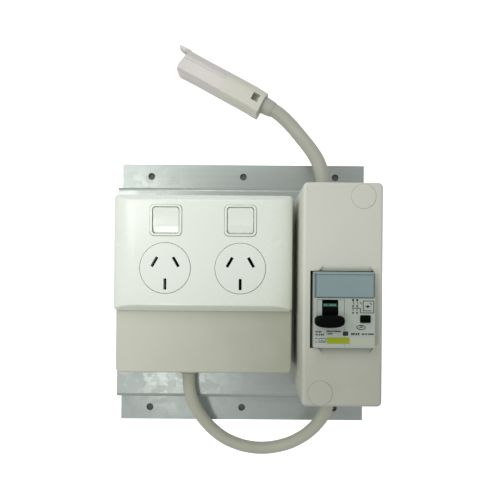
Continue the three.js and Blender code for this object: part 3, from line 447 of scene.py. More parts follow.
# ---------------------------------------------------------------- shader node groups
class Sheet:
    """Places and links the nodes of one material or group."""

    def __init__(self, tree):
        self.tree = tree

    def node(self, kind, inputs=None, **settings):
        node = self.tree.nodes.new("ShaderNode" + kind)
        for key, value in settings.items():
            setattr(node, key, value)
        for key, value in (inputs or {}).items():
            socket = node.inputs[key]
            if isinstance(value, bpy.types.NodeSocket):
                self.tree.links.new(value, socket)
            else:
                socket.default_value = value
        return node

    def maths(self, operation, *values, clamp=False):
        return self.node("Math", dict(enumerate(values)), operation=operation, use_clamp=clamp).outputs[0]

    def mix(self, share, a, b, blend="MIX"):
        node = self.node("Mix", {0: share, 6: a, 7: b}, data_type="RGBA", blend_type=blend)
        return node.outputs[2]

    def spread(self, value, low, high, to_low=0.0, to_high=1.0):
        node = self.node("MapRange", {"Value": value, "From Min": low, "From Max": high,
                                      "To Min": to_low, "To Max": to_high})
        return node.outputs["Result"]

    def own_place(self):
        return self.node("TexCoord").outputs["Object"]

    def group(self, name, **inputs):
        node = self.node("Group", node_tree=bpy.data.node_groups[name])
        for key, value in inputs.items():
            socket = node.inputs[key.replace("_", " ")]
            if isinstance(value, bpy.types.NodeSocket):
                self.tree.links.new(value, socket)
            else:
                socket.default_value = value
        return node.outputs


def effect(name, inputs, outputs, build):
    """Makes one shared node group with named sockets."""
    tree = bpy.data.node_groups.new(name, "ShaderNodeTree")
    for label, kind, default in inputs:
        socket = tree.interface.new_socket(label, in_out="INPUT", socket_type="NodeSocket" + kind)
        socket.default_value = default
    for label, kind in outputs:
        tree.interface.new_socket(label, in_out="OUTPUT", socket_type="NodeSocket" + kind)
    entry = tree.nodes.new("NodeGroupInput").outputs
    results = build(Sheet(tree), entry)
    end = tree.nodes.new("NodeGroupOutput")
    for label, socket in results.items():
        tree.links.new(socket, end.inputs[label])


def mould_grain(sheet, entry):
    """Fine even grain of a moulded surface, and how it scatters the gloss."""
    place = sheet.own_place()
    fine = sheet.node("TexNoise", {"Vector": place, "Scale": entry["Scale"], "Detail": 3.0, "Roughness": 0.6})
    cells = sheet.node("TexVoronoi", {"Vector": place, "Scale": entry["Scale"], "Randomness": 1.0},
                       feature="SMOOTH_F1")
    height = sheet.maths("ADD", sheet.maths("MULTIPLY", fine.outputs["Fac"], 0.7),
                         sheet.maths("MULTIPLY", cells.outputs["Distance"], 0.4))
    haze = sheet.node("TexNoise", {"Vector": place, "Scale": 38.0, "Detail": 4.0, "Roughness": 0.55})
    swing = sheet.maths("MULTIPLY", sheet.maths("SUBTRACT", haze.outputs["Fac"], 0.5), entry["Unevenness"])
    return {"Height": height, "Roughness": sheet.maths("ADD", entry["Roughness"], swing)}


def tone_drift(sheet, entry):
    """Slow drift of a colour over a piece, with faint specks."""
    place = sheet.own_place()
    slow = sheet.node("TexNoise", {"Vector": place, "Scale": 16.0, "Detail": 2.0, "Roughness": 0.5})
    share = sheet.maths("MULTIPLY", sheet.spread(slow.outputs["Fac"], 0.35, 0.65), entry["Drift"], clamp=True)
    drifted = sheet.mix(share, entry["Colour"], entry["Second Colour"])
    specks = sheet.node("TexNoise", {"Vector": place, "Scale": 620.0, "Detail": 2.0, "Roughness": 0.5})
    dots = sheet.maths("MULTIPLY", sheet.spread(specks.outputs["Fac"], 0.72, 0.8), entry["Specks"], clamp=True)
    return {"Colour": sheet.mix(dots, drifted, (0.12, 0.11, 0.09, 1.0))}


def edge_rub(sheet, entry):
    """Mask along edges that hands and tools rub."""
    soft = sheet.node("Bevel", {"Radius": entry["Width"]}, samples=6)
    hard = sheet.node("NewGeometry").outputs["Normal"]
    facing = sheet.node("VectorMath", {0: soft.outputs[0], 1: hard}, operation="DOT_PRODUCT").outputs["Value"]
    edge = sheet.spread(facing, 0.995, 0.86)
    patches = sheet.node("TexNoise", {"Vector": sheet.own_place(), "Scale": 130.0, "Detail": 4.0,
                                      "Roughness": 0.65})
    patchy = sheet.spread(patches.outputs["Fac"], 0.38, 0.62)
    mask = sheet.maths("MULTIPLY", sheet.maths("MULTIPLY", edge, patchy), entry["Amount"], clamp=True)
    return {"Mask": mask}


def painted_hollow_shade(sheet, entry):
    """Mask of painted shade in corners and gaps, taken from ambient occlusion and made patchy."""
    hollow = sheet.node("AmbientOcclusion", {"Distance": entry["Reach"]}, samples=6).outputs["AO"]
    patches = sheet.node("TexNoise", {"Vector": sheet.own_place(), "Scale": 75.0, "Detail": 5.0,
                                      "Roughness": 0.6})
    patchy = sheet.spread(patches.outputs["Fac"], 0.3, 0.7, 0.45, 1.0)
    gathered = sheet.maths("MULTIPLY", sheet.spread(hollow, 0.75, 0.25), patchy)
    return {"Mask": sheet.maths("MULTIPLY", gathered, entry["Amount"], clamp=True)}


def painted_falloff_shade(sheet, entry):
    """Painted shade: a colour darkened from one end of a piece to the other, with blotches, where less light
    falls.
    """
    along = sheet.node("VectorMath", {0: sheet.own_place(), 1: entry["Along"]}, operation="DOT_PRODUCT")
    share = sheet.spread(along.outputs["Value"], entry["Start"], entry["End"])
    blotch = sheet.node("TexNoise", {"Vector": sheet.own_place(), "Scale": 45.0, "Detail": 3.0})
    blotched = sheet.spread(blotch.outputs["Fac"], 0.3, 0.7, 0.88, 1.1)
    uneven = sheet.maths("MULTIPLY", share, blotched, clamp=True)
    return {"Colour": sheet.mix(uneven, entry["Colour"], entry["Aged Colour"])}


def zinc_spangle(sheet, entry):
    """Crystal pattern and rolling lines of hot dipped sheet."""
    place = sheet.own_place()
    warp = sheet.node("TexNoise", {"Vector": place, "Scale": 120.0, "Detail": 2.0})
    pushed = sheet.mix(0.012, place, warp.outputs["Color"], "ADD")
    cells = sheet.node("TexVoronoi", {"Vector": pushed, "Scale": entry["Scale"], "Randomness": 1.0})
    tone = sheet.node("SeparateColor", {0: cells.outputs["Color"]}).outputs[0]
    stretch = sheet.node("Mapping", {"Vector": place, "Scale": (18.0, 900.0, 18.0)})
    lines = sheet.node("TexNoise", {"Vector": stretch.outputs[0], "Scale": 1.0, "Detail": 3.0})
    height = sheet.maths("ADD", sheet.maths("MULTIPLY", tone, 0.5),
                         sheet.maths("MULTIPLY", lines.outputs["Fac"], 0.8))
    return {"Tone": tone, "Lines": lines.outputs["Fac"], "Height": height}


def drawn_lines(sheet, entry):
    """Fine lines of drawn, turned or brushed metal."""
    stretch = sheet.node("Mapping", {"Vector": sheet.own_place(), "Scale": (1.0, 14.0, 5.0)})
    lines = sheet.node("TexNoise", {"Vector": stretch.outputs[0], "Scale": entry["Scale"], "Detail": 4.0})
    swing = sheet.maths("MULTIPLY", sheet.maths("SUBTRACT", lines.outputs["Fac"], 0.5), 0.25)
    return {"Height": lines.outputs["Fac"], "Roughness": sheet.maths("ADD", entry["Roughness"], swing)}


def make_effects():
    """Makes the shared node groups, once."""
    if "Mould grain" in bpy.data.node_groups:
        return
    effect("Mould grain", [("Scale", "Float", 900.0), ("Roughness", "Float", 0.4),
                           ("Unevenness", "Float", 0.1)],
           [("Height", "Float"), ("Roughness", "Float")], mould_grain)
    effect("Tone drift", [("Colour", "Color", (1, 1, 1, 1)), ("Second Colour", "Color", (1, 1, 1, 1)),
                          ("Drift", "Float", 1.0), ("Specks", "Float", 0.0)], [("Colour", "Color")], tone_drift)
    effect("Painted falloff shade", [("Colour", "Color", (1, 1, 1, 1)), ("Aged Colour", "Color", (1, 1, 1, 1)),
                           ("Along", "Vector", (1, 0, 0)), ("Start", "Float", 0.0), ("End", "Float", 0.1)],
           [("Colour", "Color")], painted_falloff_shade)
    effect("Edge rub", [("Width", "Float", 0.0005), ("Amount", "Float", 1.0)], [("Mask", "Float")], edge_rub)
    effect("Painted hollow shade", [("Reach", "Float", 0.003), ("Amount", "Float", 1.0)], [("Mask", "Float")],
           painted_hollow_shade)
    effect("Zinc spangle", [("Scale", "Float", 160.0)],
           [("Tone", "Float"), ("Lines", "Float"), ("Height", "Float")], zinc_spangle)
    effect("Drawn lines", [("Scale", "Float", 700.0), ("Roughness", "Float", 0.35)],
           [("Height", "Float"), ("Roughness", "Float")], drawn_lines)


# ---------------------------------------------------------------- finishes
def four(colour_value, gain=1.0):
    return (*[min(1.0, c * gain) for c in colour_value], 1.0)


def blank(name):
    """A new material, its node sheet and its surface shader."""
    material = bpy.data.materials.new(name)
    material.use_nodes = True
    sheet = Sheet(material.node_tree)
    return material, sheet, material.node_tree.nodes["Principled BSDF"]


def made_once(build):
    """Makes a finish the first time that its name is asked for, and finds it after that."""
    def finish(name, *values, **settings):
        found = bpy.data.materials.get(name)
        if not found:
            found, sheet, surface = blank(name)
            build(sheet, surface, *values, **settings)
        return found
    return finish


def dress(sheet, surface, tint, roughness, height, distance):
    """Links a finish's colour, roughness and fine relief to its surface shader."""
    sheet.tree.links.new(tint, surface.inputs["Base Color"])
    sheet.tree.links.new(roughness, surface.inputs["Roughness"])
    bump = sheet.node("Bump", {"Height": height, "Distance": distance, "Strength": 1.0})
    sheet.tree.links.new(bump.outputs["Normal"], surface.inputs["Normal"])


@made_once
def plastic(sheet, surface, base, rough=0.4, second=(0.93, 0.93, 0.93), drift=0.6, specks=0.25, grain=900.0,
            relief=0.00002, rub=0.35, hollow_shade=0.45, uneven=0.14, coat=0.0, gloss=0.5, shade_falloff=None):
    """Moulded plastic with grain, a second tone (as shares of the base), rubbed edges, painted shade in hollows
    and a painted shade falloff.

    The shade falloff is a direction, where it starts and ends along it, and the shares of the base that are
    left at its shaded end.
    """
    other = [c * share for c, share in zip(base, second)]
    tone = sheet.group("Tone drift", Colour=four(base), Second_Colour=four(other), Drift=drift,
                       Specks=specks)["Colour"]
    # Painted shade: the colour darkens along a direction across the piece.
    if shade_falloff:
        along, start, end, shaded = shade_falloff
        tone = sheet.group("Painted falloff shade", Colour=tone, Aged_Colour=four([c * k for c, k in zip(base, shaded)]),
                           Along=along, Start=start, End=end)["Colour"]
    rubbed = sheet.mix(sheet.group("Edge rub", Width=0.0006, Amount=rub)["Mask"], tone,
                       four([c * 1.1 + 0.02 for c in base]))
    # Painted shade: hollows darken towards 0.45 of the base where ambient occlusion finds them.
    shaded_in_hollows = sheet.mix(sheet.group("Painted hollow shade", Reach=0.004, Amount=hollow_shade)["Mask"], rubbed,
                      four([c * 0.45 + 0.02 for c in base]))
    moulded = sheet.group("Mould grain", Scale=grain, Roughness=rough, Unevenness=uneven)
    surface.inputs["Specular IOR Level"].default_value = gloss
    surface.inputs["Coat Weight"].default_value = coat
    surface.inputs["Coat Roughness"].default_value = 0.15
    dress(sheet, surface, shaded_in_hollows, moulded["Roughness"], moulded["Height"], relief)


@made_once
def galvanised(sheet, surface, base):
    """Hot dipped sheet, with its spangle, rolling lines, bright sheared edges and painted shade in hollows."""
    spangle = sheet.group("Zinc spangle", Scale=190.0)
    tone = sheet.mix(sheet.maths("MULTIPLY", spangle["Tone"], 0.4), four(base), four(base, 0.88))
    streaked = sheet.mix(sheet.maths("MULTIPLY", sheet.spread(spangle["Lines"], 0.45, 0.75), 0.35), tone,
                         four(base, 1.14))
    rubbed = sheet.mix(sheet.group("Edge rub", Width=0.0004, Amount=0.5)["Mask"], streaked, four(base, 1.2))
    # Painted shade: hollows darken towards half the base where ambient occlusion finds them.
    zinc_shaded_in_hollows = sheet.mix(sheet.group("Painted hollow shade", Reach=0.008, Amount=0.4)["Mask"], rubbed, four(base, 0.5))
    gloss = sheet.maths("ADD", 0.34, sheet.maths("MULTIPLY", spangle["Tone"], 0.08))
    surface.inputs["Metallic"].default_value = 0.55
    dress(sheet, surface, zinc_shaded_in_hollows, gloss, spangle["Height"], 0.000015)


@made_once
def metal(sheet, surface, base, rough=0.32):
    """Drawn or turned metal with fine lines and painted shade in its corners."""
    tone = sheet.group("Tone drift", Colour=four(base), Second_Colour=four(base, 0.8), Drift=0.8,
                       Specks=0.15)["Colour"]
    # Painted shade: corners darken towards 0.35 of the base where ambient occlusion finds them.
    metal_shaded_in_hollows = sheet.mix(sheet.group("Painted hollow shade", Reach=0.002, Amount=0.6)["Mask"], tone, four(base, 0.35))
    lines = sheet.group("Drawn lines", Scale=700.0, Roughness=rough)
    surface.inputs["Metallic"].default_value = 1.0
    dress(sheet, surface, metal_shaded_in_hollows, lines["Roughness"], lines["Height"], 0.00001)


@made_once
def smoked_clear(sheet, surface, base):
    """Smoke grey clear plastic, slightly hazed."""
    tone = sheet.group("Tone drift", Colour=four(base), Second_Colour=four(base, 0.86), Drift=0.8,
                       Specks=0.1)["Colour"]
    rubbed = sheet.mix(sheet.group("Edge rub", Width=0.0005, Amount=0.6)["Mask"], tone, four(base, 0.6))
    moulded = sheet.group("Mould grain", Scale=300.0, Roughness=0.24, Unevenness=0.15)
    surface.inputs["Transmission Weight"].default_value = 0.2
    surface.inputs["IOR"].default_value = 1.49
    dress(sheet, surface, rubbed, moulded["Roughness"], moulded["Height"], 0.00001)


def finishes():
    """Every finish of the object, by the name of its material slot or piece."""
    c = bpy.context.scene.outlet_colours
    make_effects()
    return SimpleNamespace(
        zinc=galvanised("galvanised_sheet_finish", c.zinc),
        # The shade falloffs below are painted shade: the box darkens towards its right end, the cover plate
        # towards its lower right and the enclosure towards its bottom.
        box=plastic("box_finish", c.box, rough=0.48, grain=1100, relief=0.00003,
                    shade_falloff=((1.0, 0.0, 0.0), -0.075, 0.03, (0.70, 0.70, 0.68))),
        outlet=plastic("outlet_finish", c.outlet, rough=0.27, drift=0.35, specks=0.1, grain=500,
                       relief=0.000008, rub=0.2, hollow_shade=0.5, uneven=0.08, coat=0.15,
                       shade_falloff=((0.25, -0.9, 0.0), -0.02, 0.02, (0.91, 0.92, 0.89))),
        # Painted shade: a near black finish for the outlet parts seen through the pin slots.
        dark_inside=plastic("dark_inside_finish", (0.03, 0.03, 0.028), rough=0.6),
        enclosure=plastic("enclosure_finish", c.enclosure, rough=0.42, grain=1200, relief=0.00004, drift=0.5,
                          shade_falloff=((0.0, -1.0, 0.0), -0.01, 0.045, (0.72, 0.72, 0.68))),
        device=plastic("device_finish", c.device, rough=0.45, grain=1400, relief=0.00002, drift=0.5, hollow_shade=0.6),
        black=plastic("black_finish", c.black, rough=0.42, drift=0.4, specks=0.0, grain=800, rub=0.0, hollow_shade=0.0,
                      gloss=0.06),
        flap=smoked_clear("smoked_label_flap_finish", c.flap),
        # Painted shade: a darker copy of the flap colour for the flap's raised border strips.
        flap_rim=plastic("label_flap_rim_finish", [v * 0.35 for v in c.flap], rough=0.35, drift=0.9,
                         hollow_shade=0.0, rub=0.0),
        card=plastic("label_card_finish", c.card, rough=0.7, grain=2400),
        steel=metal("zinc_steel_finish", (0.56, 0.57, 0.58)),
        brass=metal("brass_finish", (0.62, 0.42, 0.14)),
        tarnished=metal("tarnished_brass_finish", (0.10, 0.075, 0.04), rough=0.5),
        copper=metal("copper_finish", (0.62, 0.27, 0.14)),
        rubber=plastic("gland_rubber_finish", c.rubber, rough=0.6, grain=700, relief=0.00004, rub=0.2),
        sheath=plastic("lead_sheath_finish", c.sheath, rough=0.42, grain=420, relief=0.00003, drift=0.8,
                       uneven=0.2),
        # Painted light: a copy of the lead sheath, toned for the light on the link lead.
        link_sheath_lit_copy=plastic("link_lead_sheath_finish", c.link_sheath_lit_copy, rough=0.45, grain=420, relief=0.00003,
                            drift=0.8, uneven=0.2),
        connector_front=plastic("connector_front_finish", c.connector_front, rough=0.3, grain=600,
                                relief=0.00001, drift=0.7, second=(0.93, 0.92, 0.91), coat=0.2),
        connector_rear=plastic("connector_rear_finish", c.connector_rear, rough=0.36, grain=600, relief=0.00002,
                               drift=0.9, second=(0.92, 0.93, 0.87)),
        winding=plastic("winding_enamel_finish", (0.25, 0.05, 0.03), rough=0.35, grain=1500),
        ink=plastic("printed_ink_finish", (0.008, 0.010, 0.011), rough=0.55, drift=0.9, second=(3.7, 3.5, 3.4),
                    hollow_shade=0.0, rub=0.0),
        lime=plastic("lime_strip_finish", c.lime, rough=0.4, drift=0.8, second=(0.80, 0.88, 1.5), hollow_shade=0.2),
        cream=plastic("cream_strip_finish", c.cream, rough=0.5, drift=0.8, hollow_shade=0.2),
        green=plastic("green_band_finish", c.green, rough=0.35, drift=0.7, hollow_shade=0.1),
        pale_print=plastic("pale_print_finish", (0.16, 0.33, 0.27), rough=0.5, hollow_shade=0.0, rub=0.0),
    )


# ---------------------------------------------------------------- stage
FLOOR_RADIUS = 3000
FLOOR_DROP = 0.2  # gap between the floor and the lowest face of the object


def aim(thing, target):
    direction = Vector(target) - thing.location
    thing.rotation_euler = direction.to_track_quat("-Z", "Y").to_euler()


def softbox(name, place, target, size, power):
    """A round white area light that the camera doesn't see."""
    data = bpy.data.lights.new(name, "AREA")
    data.shape = "DISK"
    data.size = size
    data.energy = power
    lamp = bpy.data.objects.new(name, data)
    lamp.location = place
    lamp.visible_camera = False
    bpy.context.scene.collection.objects.link(lamp)
    aim(lamp, target)


class OUTLET_OT_stage(Operator):
    """Place the camera, the pale floor and the soft studio lights"""
    bl_idname = "outlet.stage"
    bl_label = "Stage"

    def execute(self, context):
        scene = context.scene
        studio = scene.outlet_studio
        data = bpy.data.cameras.new("studio_camera")
        data.sensor_width = 36.0
        data.lens = 36.0
        data.shift_y = studio.camera_rise
        data.clip_start = 0.01
        camera = bpy.data.objects.new("studio_camera", data)
        camera.location = studio.camera_at
        camera.rotation_euler = (0.0, 0.0, studio.camera_roll)
        scene.collection.objects.link(camera)
        scene.camera = camera

        material, sheet, surface = blank("pale_floor")
        place = sheet.own_place()
        noise = sheet.node("TexNoise", {"Vector": place, "Scale": 5.0, "Detail": 3.0})
        paint = sheet.mix(sheet.spread(noise.outputs["Fac"], 0.3, 0.7), four((0.93,) * 3), four((0.96,) * 3))
        across = sheet.node("SeparateXYZ", {0: place}).outputs
        bracket = cad("mounting_bracket")
        # Painted shadow: under the bracket's footprint the floor is painted dark and gets no glow, so the
        # flange holes look shaded.
        inside = [sheet.maths("LESS_THAN", sheet.maths("ABSOLUTE", across[i]), (edge - 0.5) * MM)
                  for i, edge in ((0, bracket.x1), (1, bracket.y1))]
        painted_shadow_patch = sheet.maths("MULTIPLY", *inside)
        away = sheet.node("VectorMath", {0: place}, operation="LENGTH").outputs["Value"]
        glow = sheet.spread(away, 0.12, 0.15, 1.0, studio.floor_glow)
        seen = sheet.node("LightPath").outputs["Is Camera Ray"]
        open_floor = sheet.maths("SUBTRACT", seen, painted_shadow_patch, clamp=True)
        sheet.tree.links.new(sheet.mix(painted_shadow_patch, paint, (0.16, 0.16, 0.16, 1)), surface.inputs["Base Color"])
        surface.inputs["Roughness"].default_value = 0.9
        surface.inputs["Specular IOR Level"].default_value = 0.1
        surface.inputs["Emission Color"].default_value = (1.0, 1.0, 1.0, 1.0)
        sheet.tree.links.new(sheet.maths("MULTIPLY", glow, open_floor), surface.inputs["Emission Strength"])
        mesh = prism("z", circle(0, 0, FLOOR_RADIUS, 96), -FLOOR_DROP - 1, -FLOOR_DROP)
        mesh.transform(Matrix.Scale(MM, 4))
        mesh.materials.append(material)
        floor = bpy.data.objects.new("studio_floor", mesh)
        scene.collection.objects.link(floor)

        world = bpy.data.worlds.new("studio_sky")
        world.use_nodes = True
        world.node_tree.nodes["Background"].inputs["Color"].default_value = (0.95, 0.98, 1.0, 1.0)
        world.node_tree.nodes["Background"].inputs["Strength"].default_value = studio.sky
        scene.world = world
        softbox("key_light", (-0.10, -0.11, 0.36), (0.0, 0.05, 0.0), 0.05, studio.key_power)
        softbox("top_light", (-0.06, 0.30, 0.30), (0.0, 0.02, 0.03), 0.16, studio.top_power)
        softbox("near_light", (-0.15, 0.10, 0.25), (-0.03, 0.03, 0.03), 0.12, studio.near_power)
        scene.view_settings.view_transform = "Standard"
        return {"FINISHED"}


# ---------------------------------------------------------------- leads and connector
LINK_ROUTE = (
    (-37, -48.3, 23.5), (-37, -56, 23.5), (-36.9, -63, 23.3), (-36, -70.5, 22.2), (-33.8, -78.5, 19.5),
    (-30.2, -86.6, 15.6), (-25.5, -94.4, 11.5), (-19.7, -101.4, 8), (-12.6, -107.3, 5.8), (-4, -111.6, 4.7),
    (5.5, -114.2, 4.5), (15.6, -115, 4.5), (25.5, -113.7, 5.2), (34.4, -110.6, 7.2), (42.2, -105.8, 10.4),
    (49.1, -99.4, 14.7), (54.6, -91.8, 19.3), (58.3, -84.4, 23.2), (59.9, -78.2, 25.8), (60, -74, 26),
    (60, -68.5, 26), (60, -62.7, 26),
)
SUPPLY_ROUTE = (
    (55.8, 64.5, 26.5), (55.8, 72, 26.5), (55.7, 78.5, 26.4), (54.9, 85, 25.2), (53.3, 91.8, 22.3),
    (50.8, 98.5, 18.4), (47.3, 105.2, 14.4), (43, 111.8, 11.2), (38.3, 118.2, 9.3), (33.2, 124.1, 8.7),
    (27.9, 129.2, 8.6), (22.4, 133.3, 8.6), (18, 135.7, 8.6), (14.6, 137.5, 8.6),
)
LINK_EXIT = (-37, -52.3, 23.5)
LINK_RETURN = (60, -66.7, 26)
SUPPLY_EXIT = (55.8, 68.5, 26.5)
CONNECTOR_PLACE = Matrix.Translation((14, 137.8, 0)) @ Matrix.Rotation(math.radians(152), 4, "Z")


def metres(point):
    return tuple(v * MM for v in point)


def lead(name, route, diameter, finish, node):
    """A round lead on one smooth line through the points of its route."""
    data = bpy.data.curves.new(name, "CURVE")
    data.dimensions = "3D"
    data.bevel_depth = diameter * MM / 2
    data.bevel_resolution = 8
    data.resolution_u = 10
    data.use_fill_caps = True
    spline = data.splines.new("BEZIER")
    spline.bezier_points.add(len(route) - 1)
    for knot, point in zip(spline.bezier_points, route):
        knot.co = metres(point)
        knot.handle_left_type = knot.handle_right_type = "AUTO"
    data.materials.append(finish)
    piece = bpy.data.objects.new(name, data)
    bpy.context.scene.collection.objects.link(piece)
    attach(piece, ROOT)
    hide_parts(node)
    return piece


def connector_section(x, near, far, height, bead=0.0):
    """Outline across the connector: flat from its near side to the ridge, then a long round to its far side."""
    ridge, drop = -0.7, 11.4
    outline = fillet([(1.5 - far, 0), (near - 0.3, 0), (near, height - 2.4), (near - 1.4, height - 0.25),
                      (ridge + 0.55, height)], (0, 1.2, 1.2, 0.8, 0), 5)
    outline += [(ridge + 0.5 * math.cos(math.radians(turn)), height + bead * math.sin(math.radians(turn)))
                for turn in range(0, 181, 30)]
    reach = far + ridge - 0.55
    for i in range(1, 15):
        turn = math.radians(90 * i / 14)
        outline.append((ridge - 0.55 - reach * math.sin(turn), height - drop * (1 - math.cos(turn))))
    outline += [(-far, 1.5), (0.45 - far, 0.4)]
    return [(x, y, z) for y, z in outline]


def connector_shell(stations):
    """Skin through sections of (x, near half width, far half width, height, bead)."""
    return skin([connector_section(*station) for station in stations])


class OUTLET_OT_connector(Operator):
    """Build the white wiring connector at the end of the supply lead"""
    bl_idname = "outlet.connector"
    bl_label = "Wiring connector"

    def execute(self, context):
        s = in_mm(context.scene.outlet_leads)
        f = finishes()
        half, height = s.connector_width / 2, s.connector_height
        centre = height / 2
        rear = s.rear_length
        front_end = rear + s.front_length
        shell = connector_shell([
            (0.0, half + 0.3, half - 1.3, height - 0.4), (0.25, half + 0.6, half - 1.0, height - 0.1),
            (0.7, half + 0.7, half - 0.9, height), (4.5, half + 0.5, half - 0.5, height),
            (9, half + 0.1, half - 0.1, height), (15, half, half - 0.1, height),
            (rear, half, half - 0.1, height)])
        window = prism("z", rounded(3.4, 8.8, -2.4, 3.2, 0.6, 4), height - 6.0, height + 2)
        lead_radius = s.supply_diameter / 2 + RING_GAP
        root, tip = s.boot_root, s.boot_tip
        along_lead = Matrix.Translation((0, 0, centre)) @ Matrix.Rotation(math.radians(90), 4, "Y")
        boot = turned([(lead_radius, 4.9), (root, 4.9), (root, -0.5), (root - 0.3, -1.4),
                       (middle(root, tip), -4.0), (tip + 0.15, -7.0), (tip, -8.0), (tip - 0.2, -8.4),
                       (lead_radius, -8.4)], along_lead, 48, closed=True)
        cavity = rod("x", (0, centre), -1, 5, root + 0.08)
        housing = shape(shell, cuts=[window, cavity])
        start = rear + 0.06
        body = connector_shell([
            (start, half - 0.02, half - 0.12, height, 0.0),
            (start + 2.5, half - 0.1, half - 0.15, height, 0.22),
            (middle(start, front_end), half - 0.25, half - 0.2, height, 0.32),
            (front_end - 4, half - 0.1, half - 0.15, height, 0.32),
            (front_end - 0.6, half, half - 0.1, height, 0.3),
            (front_end, half - 0.4, half - 0.4, height - 0.3, 0.2)])
        mouth = prism("x", rounded(-6.8, 6.8, centre - 5.5, centre + 5.5, 1.5), front_end - 20, front_end + 1)
        rim = smooth_line([(front_end + 3, -5.4), (front_end - 1.8, -5.0), (front_end - 2.6, -2.5),
                           (front_end - 1.6, 1.5), (front_end - 0.9, 6.0), (front_end - 1.4, half + 2),
                           (front_end + 3, half + 2)], 6)
        dish = prism("z", rim, -1, height + 1)
        lip_outline = fillet([(front_end - 3, -9.0), (front_end + 6.4, -8.6), (front_end + 6.0, -7.0),
                              (front_end + 1.0, -5.9), (front_end - 3, -6.9)], (0, 0.5, 0.5, 1.5, 0), 4)
        lip = prism("z", lip_outline, 5, 12.6)
        front = shape(shape(body, cuts=[dish, mouth]), joins=[lip])
        for name, mesh, finish, node in (
                ("connector_rear_housing", housing, f.connector_rear, "connector_rear"),
                ("connector_boot_sleeve", boot, f.sheath, "connector_rear"),
                ("connector_front_body", front, f.connector_front, "connector_front")):
            mesh.transform(CONNECTOR_PLACE)
            add_piece(name, mesh, finish, replaces=[node], sharp=40)
        pins = merged([rod("x", (y, z), front_end - 19.5, front_end - 7, 1.15, 24)
                       for y, z in ((-3.4, centre - 1.8), (3.4, centre - 1.8), (0, centre + 2.6))])
        pins.transform(CONNECTOR_PLACE)
        add_piece("connector_pins", pins, f.brass, edge=0.3)
        return {"FINISHED"}


class OUTLET_OT_leads(Operator):
    """Lay the link lead and the supply lead along their routes"""
    bl_idname = "outlet.leads"
    bl_label = "Leads"

    def execute(self, context):
        s = in_mm(context.scene.outlet_leads)
        f = finishes()
        link = lead("link_lead", LINK_ROUTE, s.link_diameter, f.link_sheath_lit_copy, "link_cable")
        supply = lead("supply_lead", SUPPLY_ROUTE, s.supply_diameter, f.sheath, "supply_cable")
        return {"FINISHED"}


def gland_hole(exit_point, start, end, diameter, leads):
    """Cutter for the hole that a lead's gland sits in."""
    return rod("y", (exit_point[2], exit_point[0]), start, end, diameter / 2 + leads.gland_neck_wall + 0.3)


class OUTLET_OT_glands(Operator):
    """Build the tapered glands where the leads leave their housings"""
    bl_idname = "outlet.glands"
    bl_label = "Glands"

    def execute(self, context):
        s = in_mm(context.scene.outlet_leads)
        f = finishes()
        for name, node, exit_point, diameter, outward, wall, outside in (
                ("link_gland_at_box", "link_gland_outlet", LINK_EXIT, s.link_diameter, -1, 2.0, 4.2),
                ("link_gland_at_enclosure", "link_gland_enclosure", LINK_RETURN, s.link_diameter, -1, 2.2, 9.0),
                ("supply_gland_boot", "supply_gland", SUPPLY_EXIT, s.supply_diameter, 1, 2.2, 9.0)):
            bore = diameter / 2 + RING_GAP
            neck = diameter / 2 + s.gland_neck_wall
            flange = neck + s.gland_flange
            inner = -(wall + 0.3)
            profile = [(bore, outside - 20), (bore + 1.2, outside - 20), (neck + 0.8, inner - 1.5),
                       (neck + 0.8, inner), (neck, inner), (neck, 0.3), (flange, 0.3), (flange, 1.5),
                       (flange - 0.25, 2.1), (flange - 0.8, 2.45), (neck + 0.1, 2.8)]
            length_left = outside - 3.2
            for ring in range(3):
                z = 3.2 + length_left * (ring + 0.15) / 3.4
                radius = neck - 0.4 - (neck - bore - 1.2) * (ring + 0.2) / 3.2
                profile += [(radius, z), (radius, z + length_left * 0.16),
                            (radius - 0.35, z + length_left * 0.19), (radius - 0.35, z + length_left * 0.25)]
            profile += [(bore + 0.7, outside - 0.3), (bore + 0.45, outside), (bore, outside)]
            turn = math.radians(-90 if outward > 0 else 90)
            place = Matrix.Translation(exit_point) @ Matrix.Rotation(turn, 4, "X")
            add_piece(name, turned(profile, place, 56, closed=True), f.rubber, replaces=[node])
        return {"FINISHED"}


# ---------------------------------------------------------------- bracket
class OUTLET_OT_bracket(Operator):
    """Build the folded galvanised bracket with its flange holes"""
    bl_idname = "outlet.bracket"
    bl_label = "Mounting bracket"

    def execute(self, context):
        s = in_mm(context.scene.outlet_bracket)
        box = cad("mounting_bracket")
        centre = s.sheet / 2
        web = s.tray_length / 2 - centre
        line = [(box.y0, centre), (-web, centre), (-web, box.z1 - centre),
                (web, box.z1 - centre), (web, centre), (box.y1, centre)]
        sheet = prism("x", bent_strip(line, s.bend, s.sheet), box.x0, box.x1)
        holes = [rod("z", (column * s.hole_pitch, end * s.hole_y), -1, s.sheet + 1, s.hole_radius)
                 for column in (-1, 0, 1) for end in (-1, 1)]
        for node in ("outlet_box_screw_left", "outlet_box_screw_right",
                     "enclosure_fixing_screw_upper", "enclosure_fixing_screw_lower"):
            screw = cad(node)
            holes.append(rod("z", (middle(screw.x0, screw.x1), middle(screw.y0, screw.y1)),
                             box.z1 - s.sheet - 1, box.z1 + 1, 2))
        add_piece("bracket_sheet", shape(sheet, cuts=holes), finishes().zinc,
                  replaces=["mounting_bracket"], edge=s.edge_break)
        return {"FINISHED"}


